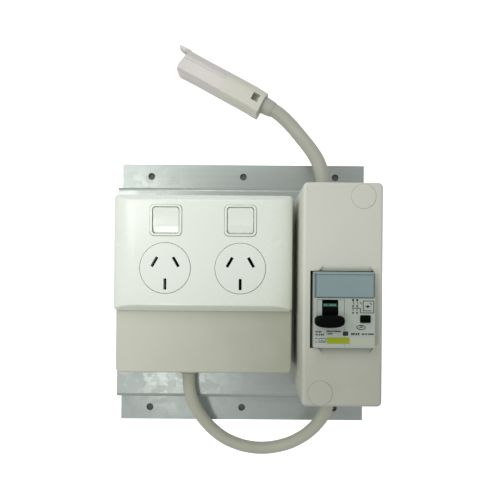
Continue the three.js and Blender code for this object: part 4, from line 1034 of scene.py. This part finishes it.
# ---------------------------------------------------------------- outlet
SOCKETS = {"left": (-49.2, 16.5), "right": (-0.8, 16.5)}
SWITCHES = {"left": (-48.9, 47.3), "right": (-0.9, 47.3)}
BOX_BOSSES = ((-76, -46), (26.5, -46), (-76, 58), (26.5, 58))
BOX_OPENING = (-77, 27, -4, 54.5)
PIN_SLOTS = ((-6.86, 3.96, -30), (6.86, 3.96, 30), (0.0, -10.31, 0))
ROCKER_AXIS_Z = 51.0
ROCKER_FOOT_Z = 43.4


class OUTLET_OT_outlet_box(Operator):
    """Build the deep plastic box behind the double outlet"""
    bl_idname = "outlet.outlet_box"
    bl_label = "Outlet box"

    def execute(self, context):
        s = in_mm(context.scene.outlet_sizes)
        leads = in_mm(context.scene.outlet_leads)
        box = cad("outlet_box")
        wall = s.box_wall
        hollow = shape(soft_block(inner_box(box, wall), 1.5, 0.5),
                       cuts=[rod("z", place, box.z0 - 2, box.z1, 4) for place in BOX_BOSSES])
        cuts = [hollow, block(*BOX_OPENING, box.z1 - 5, box.z1 + 1),
                gland_hole(LINK_EXIT, box.y0 - 1, box.y0 + wall + 1, leads.link_diameter, leads)]
        cuts += [rod("z", place, box.z0 - 1, box.z1 - 10, 2) for place in BOX_BOSSES]
        add_piece("outlet_box_shell", shape(soft_block(box, s.box_corner, s.box_edge), cuts=cuts),
                  finishes().box, replaces=["outlet_box"])
        return {"FINISHED"}


def plate_skin(box, s, shrink, floor):
    """The cover plate's form: ends curve down, long sides lean in."""
    cx, cy = middle(box.x0, box.x1), middle(box.y0, box.y1)
    corner_radius = s.plate_corner
    half_width = (box.x1 - box.x0) / 2 - shrink
    half_height = (box.y1 - box.y0) / 2 - shrink
    top = box.z1 - shrink
    rim = box.z0 + s.plate_rim
    turns = [math.radians(90 * i / 22) for i in range(23)]
    stations = [(s.plate_end * (1 - math.cos(turn)), rim + (top - rim) * math.sin(turn)) for turn in turns]
    rings = []
    for x, d, h in ([(d - half_width, d, h) for d, h in stations]
                    + [(half_width - d, d, h) for d, h in reversed(stations)]):
        pull = corner_radius - math.sqrt(max(0.0, corner_radius ** 2 - max(0.0, corner_radius - d) ** 2))
        y_rim = half_height - pull
        share = (h - rim) / (top - rim)
        y_top = y_rim - s.plate_lean * share
        blend = s.plate_blend * share
        slope = Vector((y_rim - y_top, rim - h))
        run = slope.normalized() if slope.length > 1e-6 else Vector((1.0, 0.0))
        corner = Vector((y_top, h))
        half = [(y_rim, floor), (y_rim, rim)]
        p0, p2 = corner + run * blend, corner - Vector((blend, 0.0))
        half.append(tuple(Vector((y_rim, rim)) * 0.5 + p0 * 0.5))
        for k in range(6):
            t = k / 5
            half.append(tuple(p0 * (1 - t) ** 2 + corner * 2 * t * (1 - t) + p2 * t * t))
        section = [(-y, z) for y, z in half] + [(y, z) for y, z in reversed(half)]
        rings.append([(cx + x, cy + y, z) for y, z in section])
    return skin(rings)


class OUTLET_OT_cover_plate(Operator):
    """Build the white cover plate of the double outlet"""
    bl_idname = "outlet.cover_plate"
    bl_label = "Cover plate"

    def execute(self, context):
        s = in_mm(context.scene.outlet_sizes)
        box = cad("outlet_cover_plate")
        bezel = cad("switch_bezel_left")
        cuts = [plate_skin(box, s, s.plate_wall, box.z0 - 1)]
        cuts += [rod("z", place, box.z0, box.z1 + 1, s.socket_radius + RING_GAP, 96)
                 for place in SOCKETS.values()]
        half_x, half_y = (bezel.x1 - bezel.x0) / 2 + 0.2, (bezel.y1 - bezel.y0) / 2 + 0.2
        cuts += [prism("z", rounded(x - half_x, x + half_x, y - half_y, y + half_y, s.bezel_corner),
                       box.z0, box.z1 + 1) for x, y in SWITCHES.values()]
        add_piece("cover_plate_shell", shape(plate_skin(box, s, 0.0, box.z0), cuts=cuts),
                  finishes().outlet, replaces=["outlet_cover_plate"])
        return {"FINISHED"}


class OUTLET_OT_socket_faces(Operator):
    """Build the two round socket faces with their pin slots"""
    bl_idname = "outlet.socket_faces"
    bl_label = "Socket faces"

    def execute(self, context):
        s = in_mm(context.scene.outlet_sizes)
        for side, (x, y) in SOCKETS.items():
            box = cad(f"socket_face_{side}")
            face = disc((x, y), s.socket_radius - 0.15, box.z0, box.z1, 0.3, 1.4)
            half_width, half_length = s.slot_width / 2, s.slot_length / 2
            slots = []
            for dx, dy, turn in PIN_SLOTS:
                slot = prism("z", rounded(-half_width, half_width, -half_length, half_length, 0.15, 3),
                             box.z0 - 1, box.z1 + 1)
                slot.transform(Matrix.Translation((x + dx, y + dy, 0))
                               @ Matrix.Rotation(math.radians(turn), 4, "Z"))
                slots.append(slot)
            add_piece(f"socket_{side}_disc", shape(face, cuts=slots), finishes().outlet,
                      replaces=[f"socket_face_{side}"])
        return {"FINISHED"}


class OUTLET_OT_switches(Operator):
    """Build the switch bezels and their rockers"""
    bl_idname = "outlet.switches"
    bl_label = "Switches"

    def execute(self, context):
        s = in_mm(context.scene.outlet_sizes)
        f = finishes()
        axis_z = ROCKER_AXIS_Z
        for side, (x, y) in SWITCHES.items():
            box = cad(f"switch_bezel_{side}")
            half = s.bezel_opening / 2
            rings = stacked(box.x0, box.x1, box.y0, box.y1, s.bezel_corner,
                            [(0.0, box.z0), *quarter(0.35, box.z1)])
            rings += stacked(x - half, x + half, y - half, y + half, s.opening_corner,
                             [(-outset, z) for outset, z in (*reversed(quarter(0.15, box.z1)), (0.0, box.z0))])
            pivot = rod("x", (y, axis_z), x - half - 1.2, x + half + 1.2, 1.3, 24)
            add_piece(f"bezel_{side}_frame", shape(skin(rings, closed=True), cuts=[pivot]), f.outlet,
                      replaces=[f"switch_bezel_{side}"])

            size = s.rocker / 2
            front = smooth_line([(size, 3), (6, 2.65), (3, 2.35), (0, 2.3), (-2.2, 2.5), (-3.0, 2.58),
                                 (-3.8, 2.45), (-5.5, 2), (-size, 1.2)], 5)
            outline = [(y + a, axis_z + b) for a, b in [(-size, -1.4), (size, -1.4), *front]]
            key = prism("x", outline, x - size, x + size)
            plan = rounded(x - size, x + size, y - size, y + size, s.opening_corner)
            key = shape(key, keeps=[prism("z", plan, axis_z - 3, axis_z + 6)])
            trunnion = rod("x", (y, axis_z), x - size - 0.9, x + size + 0.9, 1.0, 24)
            leg = block(x - 1.5, x + 1.5, y - 1.2, y + 1.2, ROCKER_FOOT_Z, axis_z)
            add_piece(f"rocker_{side}_key", shape(key, joins=[trunnion, leg]), f.outlet,
                      body=f"{side}_rocker", replaces=[f"rocker_{side}"], edge=0.28)
        return {"FINISHED"}


# ---------------------------------------------------------------- enclosure
CAPS = {"upper": (73.5, 60), "lower": (48.1, -58.4)}
WELL_BACK_Z, WELL_SEAT_Z = 62, 64.5
WINDOW = SimpleNamespace(x0=41.7, x1=80.1, y0=-31.4, y1=15.1)


def finger_relief(s, edge_y, outward, front):
    """Sloped relief at one end of the window, narrower away from it."""
    half, run = s.relief_width / 2, s.relief_run
    rings = []
    for wide, y, low in ((half, edge_y - outward, front - s.relief_depth * (1 + 1 / run)),
                         (half, edge_y, front - s.relief_depth),
                         (half - s.relief_narrowing, edge_y + outward * run, front + 0.01)):
        rings.append([(s.relief_x - wide, y, low), (s.relief_x + wide, y, low),
                      (s.relief_x + wide, y, front + 1), (s.relief_x - wide, y, front + 1)])
    return skin(rings)


class OUTLET_OT_enclosure_cover(Operator):
    """Build the enclosure's cover with its window, wells and screw caps"""
    bl_idname = "outlet.enclosure_cover"
    bl_label = "Enclosure cover"

    def execute(self, context):
        s = in_mm(context.scene.outlet_enclosure)
        leads = in_mm(context.scene.outlet_leads)
        f = finishes()
        box = cad("enclosure_cover")
        wall = s.wall
        wells = [rod("z", place, WELL_BACK_Z, box.z1 + 1, s.well_radius, 64) for place in CAPS.values()]
        cuts = [shape(soft_block(inner_box(box, wall), 1.5, 1), cuts=wells)]
        for place in CAPS.values():
            cuts += [rod("z", place, WELL_SEAT_Z, box.z1 + 1, s.cap_bore, 96),
                     rod("z", place, WELL_BACK_Z - 2, WELL_SEAT_Z + 1.5, 2.1, 32)]
        cuts += [gland_hole(SUPPLY_EXIT, box.y1 - wall - 1, box.y1 + 1, leads.supply_diameter, leads),
                 gland_hole(LINK_RETURN, box.y0 - 1, box.y0 + wall + 1, leads.link_diameter, leads),
                 block(WINDOW.x0, WINDOW.x1, WINDOW.y0, WINDOW.y1, box.z1 - wall - 1, box.z1 + 1),
                 finger_relief(s, WINDOW.y1, 1, box.z1), finger_relief(s, WINDOW.y0, -1, box.z1)]
        add_piece("enclosure_cover_shell", shape(soft_block(box, s.corner, s.edge, 8), cuts=cuts),
                  f.enclosure, replaces=["enclosure_cover"])
        for end, place in CAPS.items():
            cap = cad(f"screw_cap_{end}")
            add_piece(f"screw_cap_{end}_disc", disc(place, s.cap_radius, cap.z0, cap.z1, 0.22, 1.2, foot=0.3),
                      f.enclosure, replaces=[f"screw_cap_{end}"])
        return {"FINISHED"}


# ---------------------------------------------------------------- residual current device
NOSE = SimpleNamespace(x0=43.3, x1=79.3, y0=-30.5, y1=14.5, z1=81.0)
CASE = SimpleNamespace(y0=-48.0, y1=32.0, z0=26.0, z1=66.0, split=61.3, rail_front=25.6)
LABEL = SimpleNamespace(step_y=-1.1, seat_z=78.7)
RAIL_TOP_Y = 9.5
TOGGLE = SimpleNamespace(y=-8.9, z=72.0, x0=48.4, x1=57.4, grip_x0=43.0, grip_x1=60.6, bore=1.5,
                         lean=math.radians(22.7))
SPRING_SHELF = (-18, -8, 64, 65.7)  # y and z of the shelf under the button's spring
LEVER_RECESS = SimpleNamespace(x0=44.9, y0=-15.5, y1=-1.9)
BUTTON = SimpleNamespace(x0=70.55, x1=76.45, y0=-15.35, y1=-11.15, z0=77.5)
TERMINALS = {"left": 52.3, "right": 70.3}
TERMINAL_ROWS = (24.0, -40.0)
RIVETS = ((14.0, 31.0), (-30.0, 33.0))
SEAM = 0.03  # half the gap between the case halves


def case_outline(shrink):
    """Side outline of the device case, as (y, z)."""
    hook = [] if shrink else [
        (RAIL_TOP_Y + 0.3, CASE.z0), (RAIL_TOP_Y + 0.3, 24.2), (RAIL_TOP_Y - 2.5, 24.2),
        (RAIL_TOP_Y - 2.5, 22.0), (RAIL_TOP_Y + 4, 22.0), (RAIL_TOP_Y + 4, CASE.z0)]
    corners = [
        (CASE.y0 + shrink, CASE.z0 + shrink), *hook, (CASE.y1 - shrink, CASE.z0 + shrink),
        (CASE.y1 - shrink, CASE.z1 - shrink), (NOSE.y1 - shrink, CASE.z1 - shrink),
        (NOSE.y1 - shrink, LABEL.seat_z - shrink), (LABEL.step_y - shrink, LABEL.seat_z - shrink),
        (LABEL.step_y - shrink, NOSE.z1 - shrink), (NOSE.y0 + shrink, NOSE.z1 - shrink),
        (NOSE.y0 + shrink, CASE.z1 - shrink), (CASE.y0 + shrink, CASE.z1 - shrink)]
    radii = [0.8] + [0.0] * len(hook) + [0.8, 0.8, 0.6, 0.3, 0.2, 0.25, 0.6, 0.6, 0.8]
    return fillet(corners, radii, 4)


class OUTLET_OT_device_case(Operator):
    """Build the two case halves of the residual current device"""
    bl_idname = "outlet.device_case"
    bl_label = "Device case"

    def execute(self, context):
        s = in_mm(context.scene.outlet_device)
        f = finishes()
        clip = cad("rail_clip")
        for side, x0, x1, cavity0, cavity1 in (
                ("left", NOSE.x0, CASE.split - SEAM, NOSE.x0 + s.wall, CASE.split + 1),
                ("right", CASE.split + SEAM, NOSE.x1, CASE.split - 1, NOSE.x1 - s.wall)):
            terminal_x = TERMINALS[side]
            cuts = [prism("x", case_outline(s.wall), cavity0, cavity1)]
            cuts += [rod("z", (terminal_x, y), CASE.z1 - 4, CASE.z1 + 1, 3.4) for y in TERMINAL_ROWS]
            cuts += [block(terminal_x - 3.5, terminal_x + 3.5, a, b, 48.5, 56.5)
                     for a, b in ((CASE.y1 - 3, CASE.y1 + 1), (CASE.y0 - 1, CASE.y0 + 3))]
            cuts.append(block(clip.x0 - 0.3, clip.x1 + 0.3, CASE.y0 - 1, clip.y1 - 0.2,
                              CASE.z0 - 1, clip.z1 + 0.3))
            cuts += [rod("x", place, x0 - 1, x1 + 1, 1.8, 32) for place in RIVETS]
            joins = []
            if side == "left":
                recess = rounded(LEVER_RECESS.x0, x1 + 4, LEVER_RECESS.y0, LEVER_RECESS.y1, 1.2)
                slot_x0, slot_x1 = TOGGLE.x0 - 0.3, TOGGLE.x1 + 0.3
                pivot = (TOGGLE.y, TOGGLE.z)
                cuts += [prism("z", recess, NOSE.z1 - s.recess, NOSE.z1 + 1),
                         rod("x", pivot, slot_x0, slot_x1, s.drum + 0.4, 64),
                         block(slot_x0, slot_x1, TOGGLE.y - 6.9, TOGGLE.y + 6.9, 76, NOSE.z1 + 1),
                         rod("x", pivot, NOSE.x0 - 1, NOSE.x0 + 3, TOGGLE.bore, 24)]
            else:
                hole = rounded(BUTTON.x0 - 0.1, BUTTON.x1 + 0.1, BUTTON.y0 - 0.1, BUTTON.y1 + 0.1, 0.5)
                cuts.append(prism("z", hole, 76, NOSE.z1 + 1))
                joins = [block(68, NOSE.x1 - s.wall + 0.5, *SPRING_SHELF)]
            shell = shape(prism("x", case_outline(0), x0, x1), cuts=cuts)
            if joins:
                shell = shape(shell, joins=joins)
            add_piece(f"case_{side}_shell", shell, f.device, replaces=[f"device_case_{side}"],
                      edge=s.edge_break)
        return {"FINISHED"}


def bar(x0, x1, y0, y1, z=NOSE.z1, thick=INK, corner=0.0):
    outline = rounded(x0, x1, y0, y1, corner, 4) if corner else [(x0, y0), (x1, y0), (x1, y1), (x0, y1)]
    return prism("z", outline, z, z + thick)


def stroke(x0, y0, x1, y1, width=0.4):
    """Thin printed line from one point to another."""
    start, end = Vector((x0, y0)), Vector((x1, y1))
    across = (end - start).normalized().orthogonal() * (width / 2)
    corners = [start + across, start - across, end - across, end + across]
    return prism("z", [tuple(c) for c in corners], NOSE.z1, NOSE.z1 + INK)


def dashes(x0, x1, y, height, seed):
    """A row of short marks of uneven lengths, in place of small print."""
    marks, x, k = [], x0, seed
    while x < x1 - 0.3:
        k = (k * 13 + 7) % 31
        width = 0.35 + 0.55 * (k / 31)
        marks.append(bar(x, min(x + width, x1), y, y + height))
        x += width + 0.18 + (0.3 if k % 4 == 0 else 0.0)
    return marks


# rows of marks, as (x0, x1, y, height, seed)
PRINT_ROWS = (
    (44.2, 48.0, -21.4, 0.95, 3), (44.2, 49.2, -23.1, 0.95, 11), (50.8, 59.2, -21.1, 0.95, 5),
    (50.8, 54.2, -22.5, 0.9, 9), (65.2, 70.2, -22.8, 1.4, 17), (71.4, 78.8, -22.6, 0.95, 8),
    (44.2, 45.2, -25.1, 0.6, 4), (44.2, 45.2, -27.3, 0.6, 6),
)
# printed lines, as (x0, y0, x1, y1, width): a small box sign, then the circuit sketch and the mark in the oval
BOX_SIGN = (
    (46.2, -24.8, 50.5, -24.8, 0.3), (46.2, -27.1, 50.5, -27.1, 0.3), (46.3, -24.7, 46.3, -27.2, 0.3),
    (50.4, -24.7, 50.4, -27.2, 0.3), (47.2, -26.6, 48.2, -25.6, 0.4), (48.4, -26.4, 49.6, -26.4, 0.5),
)
CIRCUIT = (
    (65.6, -6.9, 70.6, -6.9), (70.6, -6.9, 70.6, -9.6), (70.6, -9.6, 78.4, -9.6), (72.2, -2.6, 78.4, -2.6),
    (72.2, -2.6, 72.2, -8.4), (72.2, -8.4, 77.0, -8.4), (78.4, -2.6, 78.4, -9.6), (70.2, -3.2, 71.4, -4.6),
    (76.0, -3.6, 77.2, -4.8), (73.4, -5.9, 76.4, -5.9), (69.6, -18.6, 72.4, -17.8, 0.45),
    (70.4, -17.4, 71.6, -17.4, 0.35),
)
# the two poles of the sketch, their lines, and their contacts as (half width, y0, y1)
POLES = (66.2, 68.6)
POLE_LINES = (
    (0, -1.6, 0, -3.1, 0.4), (0, -3.3, 0.8, -4.6, 0.35), (0, -4.9, 0, -6.6, 0.4), (0, -7.4, 0, -8.4, 0.4),
    (0, -9.0, 0, -10.4, 0.4),
)
POLE_DOTS = ((0.6, -2.6, -1.5), (0.45, -5.9, -5.2), (0.45, -9.9, -9.2))


class OUTLET_OT_device_front(Operator):
    """Build the printed marks, coloured strips, label flap, card and test button"""
    bl_idname = "outlet.device_front"
    bl_label = "Device front"

    def execute(self, context):
        s = in_mm(context.scene.outlet_device)
        f = finishes()
        marks = [mark for row in PRINT_ROWS for mark in dashes(*row)]
        marks += [stroke(*line) for line in (*BOX_SIGN, *CIRCUIT)]
        marks += [bar(60.3, 63.5, -23.2, -20.6, corner=0.5),
                  prism("z", circle(74.9, -5.9, 0.75, 24), NOSE.z1, NOSE.z1 + INK)]
        for x in POLES:
            marks += [stroke(x + x0, y0, x + x1, y1, width) for x0, y0, x1, y1, width in POLE_LINES]
            marks += [bar(x - half, x + half, y0, y1) for half, y0, y1 in POLE_DOTS]
        oval = [(71.0 + 2.5 * math.cos(TAU * i / 40), -18.2 + 1.3 * math.sin(TAU * i / 40)) for i in range(41)]
        marks += [stroke(*a, *b, 0.42) for a, b in zip(oval, oval[1:])]
        add_piece("device_front_print", merged(marks), f.ink)
        add_piece("lime_strip", bar(51.0, 64.3, -27.9, -24.2, thick=0.08, corner=0.2), f.lime)
        add_piece("cream_strip", bar(64.7, 79.0, -28.6, -24.3, thick=0.07, corner=0.2), f.cream)

        flap = cad("label_flap")
        border = s.flap_border
        radius = (flap.z1 - flap.z0) / 2
        barrel_y = flap.y1 - radius
        corners = [(flap.x0, barrel_y), (flap.x0, flap.y0), (flap.x1, flap.y0), (flap.x1, barrel_y)]
        sheet = shape(
            prism("z", fillet(corners, (0, 0.8, 0.8, 0)), flap.z0, flap.z1),
            joins=[rod("x", (barrel_y, flap.z0 + radius), flap.x0, flap.x1, radius, 32)],
            cuts=[block(flap.x0 + border, flap.x1 - border, flap.y0 + 0.5, barrel_y - 0.9,
                        flap.z1 - 0.3, flap.z1 + 1)])
        add_piece("label_flap_sheet", sheet, f.flap, body="flap", replaces=["label_flap"],
                  edge=0.12)
        # Painted shade: the raised border strips are darker than the flap, and the row of dashes along its
        # lower edge is a painted shadow.
        border_shade_strips = [bar(flap.x0 + 0.15, flap.x0 + border - 0.15, flap.y0 + 0.2, barrel_y, flap.z1),
                bar(flap.x1 - border + 0.15, flap.x1 - 0.15, flap.y0 + 0.2, barrel_y, flap.z1),
                bar(flap.x0 + border, flap.x1 - border, barrel_y - 0.85, barrel_y - 0.6, flap.z1)]
        border_shade_strips += dashes(flap.x0 + border, flap.x1 - border, flap.y0 + 0.05, 0.4, 6)
        add_piece("label_flap_border_shades", merged(border_shade_strips), f.flap_rim, body="flap")
        card = cad("label_card")
        rows = [card.y0 + 1.6 + 3.4 * i for i in range(3)]
        print_rows = [bar(card.x0 + 2, card.x1 - 2, y, y + 0.25, card.z1, 0.03) for y in rows]
        sheet = prism("z", rounded(card.x0, card.x1, card.y0, card.y1, 0.6), card.z0, card.z1)
        add_piece("label_card_sheet", sheet, f.card, replaces=["label_card"])
        add_piece("label_card_lines", merged(print_rows), f.ink)

        button = cad("test_button")
        stem = SimpleNamespace(**vars(BUTTON), z1=button.z1)
        dish = turned([(0.0, 0.0), (2.6, 0.35), (2.6, 2.0), (0.0, 2.0)],
                      Matrix.Translation((73.45, -13.25, button.z1 - 0.22)), 32)
        cap = shape(soft_block(stem, 0.4, 0.25), cuts=[dish],
                    joins=[block(69.6, 77.3, -16.1, -10.4, button.z0, 78.6)])
        add_piece("test_button_cap", cap, f.black, body="button", replaces=["test_button"])
        return {"FINISHED"}


BAND_MARKS = ((49.3, 50.1), (50.4, 51.2), (52.5, 53.3), (53.6, 54.4), (54.7, 55.3), (55.6, 56.3))


def band(x0, x1, start, end, radius, steps=10):
    """Curved patch on the drum between two angles from the front, in degrees."""
    turns = [math.radians(start + (end - start) * k / steps) for k in range(steps + 1)]
    outline = [(r * math.sin(turn), r * math.cos(turn))
               for r, row in ((radius, turns), (radius - 0.3, turns[::-1])) for turn in row]
    return prism("x", [(TOGGLE.y + y, TOGGLE.z + z) for y, z in outline], x0, x1)


class OUTLET_OT_toggle(Operator):
    """Build the black toggle lever with its coloured band"""
    bl_idname = "outlet.toggle"
    bl_label = "Toggle lever"

    def execute(self, context):
        s = in_mm(context.scene.outlet_device)
        f = finishes()
        place = Matrix.Translation((0, TOGGLE.y, TOGGLE.z)) @ Matrix.Rotation(TOGGLE.lean, 4, "X")
        drum = shape(rod("x", (0, 0), TOGGLE.x0, TOGGLE.x1, s.drum, 96),
                     cuts=[rod("x", (0, 0), TOGGLE.x0 - 1, TOGGLE.x1 + 1, TOGGLE.bore, 32)])
        neck = prism("z", rounded(TOGGLE.x0 + 0.4, TOGGLE.x1 - 0.4, -s.neck / 2, s.neck / 2, 0.8), 3.0, s.reach)
        centre, half = middle(TOGGLE.grip_x0, TOGGLE.grip_x1), (TOGGLE.grip_x1 - TOGGLE.grip_x0) / 2
        rings = []
        for t in (-1.0, -0.93, -0.8, -0.55, -0.2, 0.2, 0.55, 0.8, 0.93, 1.0):
            pull = 1.5 * (1 - math.sqrt(max(0.0, 1 - abs(t) ** 2.6)))
            ring = []
            for i in range(72):
                turn = TAU * i / 72
                c, d = math.cos(turn), math.sin(turn)
                power = 3.6 if d > 0 else 2.3
                x = math.copysign(abs(c) ** (2 / power), c) * (half - pull)
                y = math.copysign(abs(d) ** (2 / power), d) * (s.grip_height / 2 - pull)
                ring.append((centre + x, y, s.reach + t * s.grip_depth / 2))
            rings.append(ring)
        handle = shape(drum, joins=[neck, skin(rings)])
        handle.transform(place)
        add_piece("toggle_handle", handle, f.black, body="toggle", replaces=["toggle_lever"])

        add_piece("toggle_band", band(48.8, 57.0, 19.2, 33.6, s.drum + 0.03), f.green,
                  body="toggle")
        pale = [band(x0, x1, 22.5, 28.5, s.drum + 0.05) for x0, x1 in BAND_MARKS]
        add_piece("toggle_band_marks", merged(pale), f.pale_print, body="toggle")
        return {"FINISHED"}


# ---------------------------------------------------------------- inner parts
class OUTLET_OT_inner_parts(Operator):
    """Finish the parts inside and behind, which keep their packed shape"""
    bl_idname = "outlet.inner_parts"
    bl_label = "Inner parts"

    def execute(self, context):
        f = finishes()
        by_slot = {
            "galvanised_steel": f.zinc, "box_plastic": f.box, "outlet_plastic": f.outlet,
            "enclosure_plastic": f.enclosure, "device_plastic": f.device, "black_plastic": f.black,
            "clear_label": f.flap, "card": f.card, "zinc_steel": f.steel, "brass": f.brass,
            "copper": f.copper, "gland_rubber": f.rubber, "lead_sheath": f.sheath,
            "connector_plastic": f.connector_rear, "winding": f.winding,
        }
        slot_of = {entry["node"]: entry["material_slot"] for entry in frame["record"]["subparts"]}
        for name, node in frame["nodes"].items():
            if node.hide_render:
                continue
            finish = by_slot[slot_of[name]]
            # The outlet's rear housing and grid plate are painted near black as shade behind the pin slots.
            if name in ("outlet_rear_housing", "outlet_grid_plate"):
                finish = f.dark_inside
            if slot_of[name] == "brass":
                finish = f.tarnished
            if not node.data.materials:
                node.data.materials.append(finish)
            for i in range(len(node.data.materials)):
                node.data.materials[i] = finish
            soften(node, 0.0 if name == "test_spring" else 0.12, 40)
        return {"FINISHED"}


# ---------------------------------------------------------------- panel and registration
STEPS = (
    OUTLET_OT_stage, OUTLET_OT_connector, OUTLET_OT_leads, OUTLET_OT_glands, OUTLET_OT_bracket,
    OUTLET_OT_outlet_box, OUTLET_OT_cover_plate, OUTLET_OT_socket_faces, OUTLET_OT_switches,
    OUTLET_OT_enclosure_cover, OUTLET_OT_device_case, OUTLET_OT_device_front, OUTLET_OT_toggle,
    OUTLET_OT_inner_parts,
)
GROUPS = {
    "outlet_studio": StudioSettings, "outlet_colours": FinishColours, "outlet_leads": LeadSizes,
    "outlet_bracket": BracketSizes, "outlet_sizes": OutletSizes, "outlet_enclosure": EnclosureSizes,
    "outlet_device": DeviceSizes,
}


class OUTLET_PT_panel(Panel):
    """Lists the sizes, the colours and the building steps"""
    bl_idname = "OUTLET_PT_panel"
    bl_label = "Portable outlet"
    bl_space_type = "VIEW_3D"
    bl_region_type = "UI"
    bl_category = "Outlet"

    def draw(self, context):
        for key, group in GROUPS.items():
            box = self.layout.box()
            box.label(text=group.__doc__.rstrip("."))
            for prop in group.__annotations__:
                box.prop(getattr(context.scene, key), prop)
        column = self.layout.column()
        for step in STEPS:
            column.operator(step.bl_idname)


def register():
    for key, group in GROUPS.items():
        bpy.utils.register_class(group)
        setattr(bpy.types.Scene, key, PointerProperty(type=group))
    for cls in (*STEPS, OUTLET_PT_panel):
        bpy.utils.register_class(cls)


def unregister():
    for cls in (OUTLET_PT_panel, *reversed(STEPS)):
        bpy.utils.unregister_class(cls)
    for key, group in reversed(GROUPS.items()):
        delattr(bpy.types.Scene, key)
        bpy.utils.unregister_class(group)


def main():
    register()
    for step in STEPS:
        name = step.bl_idname.split(".")[1]
        if getattr(bpy.ops.outlet, name)() != {"FINISHED"}:
            raise RuntimeError(f"{step.bl_label} was not built")


if __name__ == "__main__":
    main()
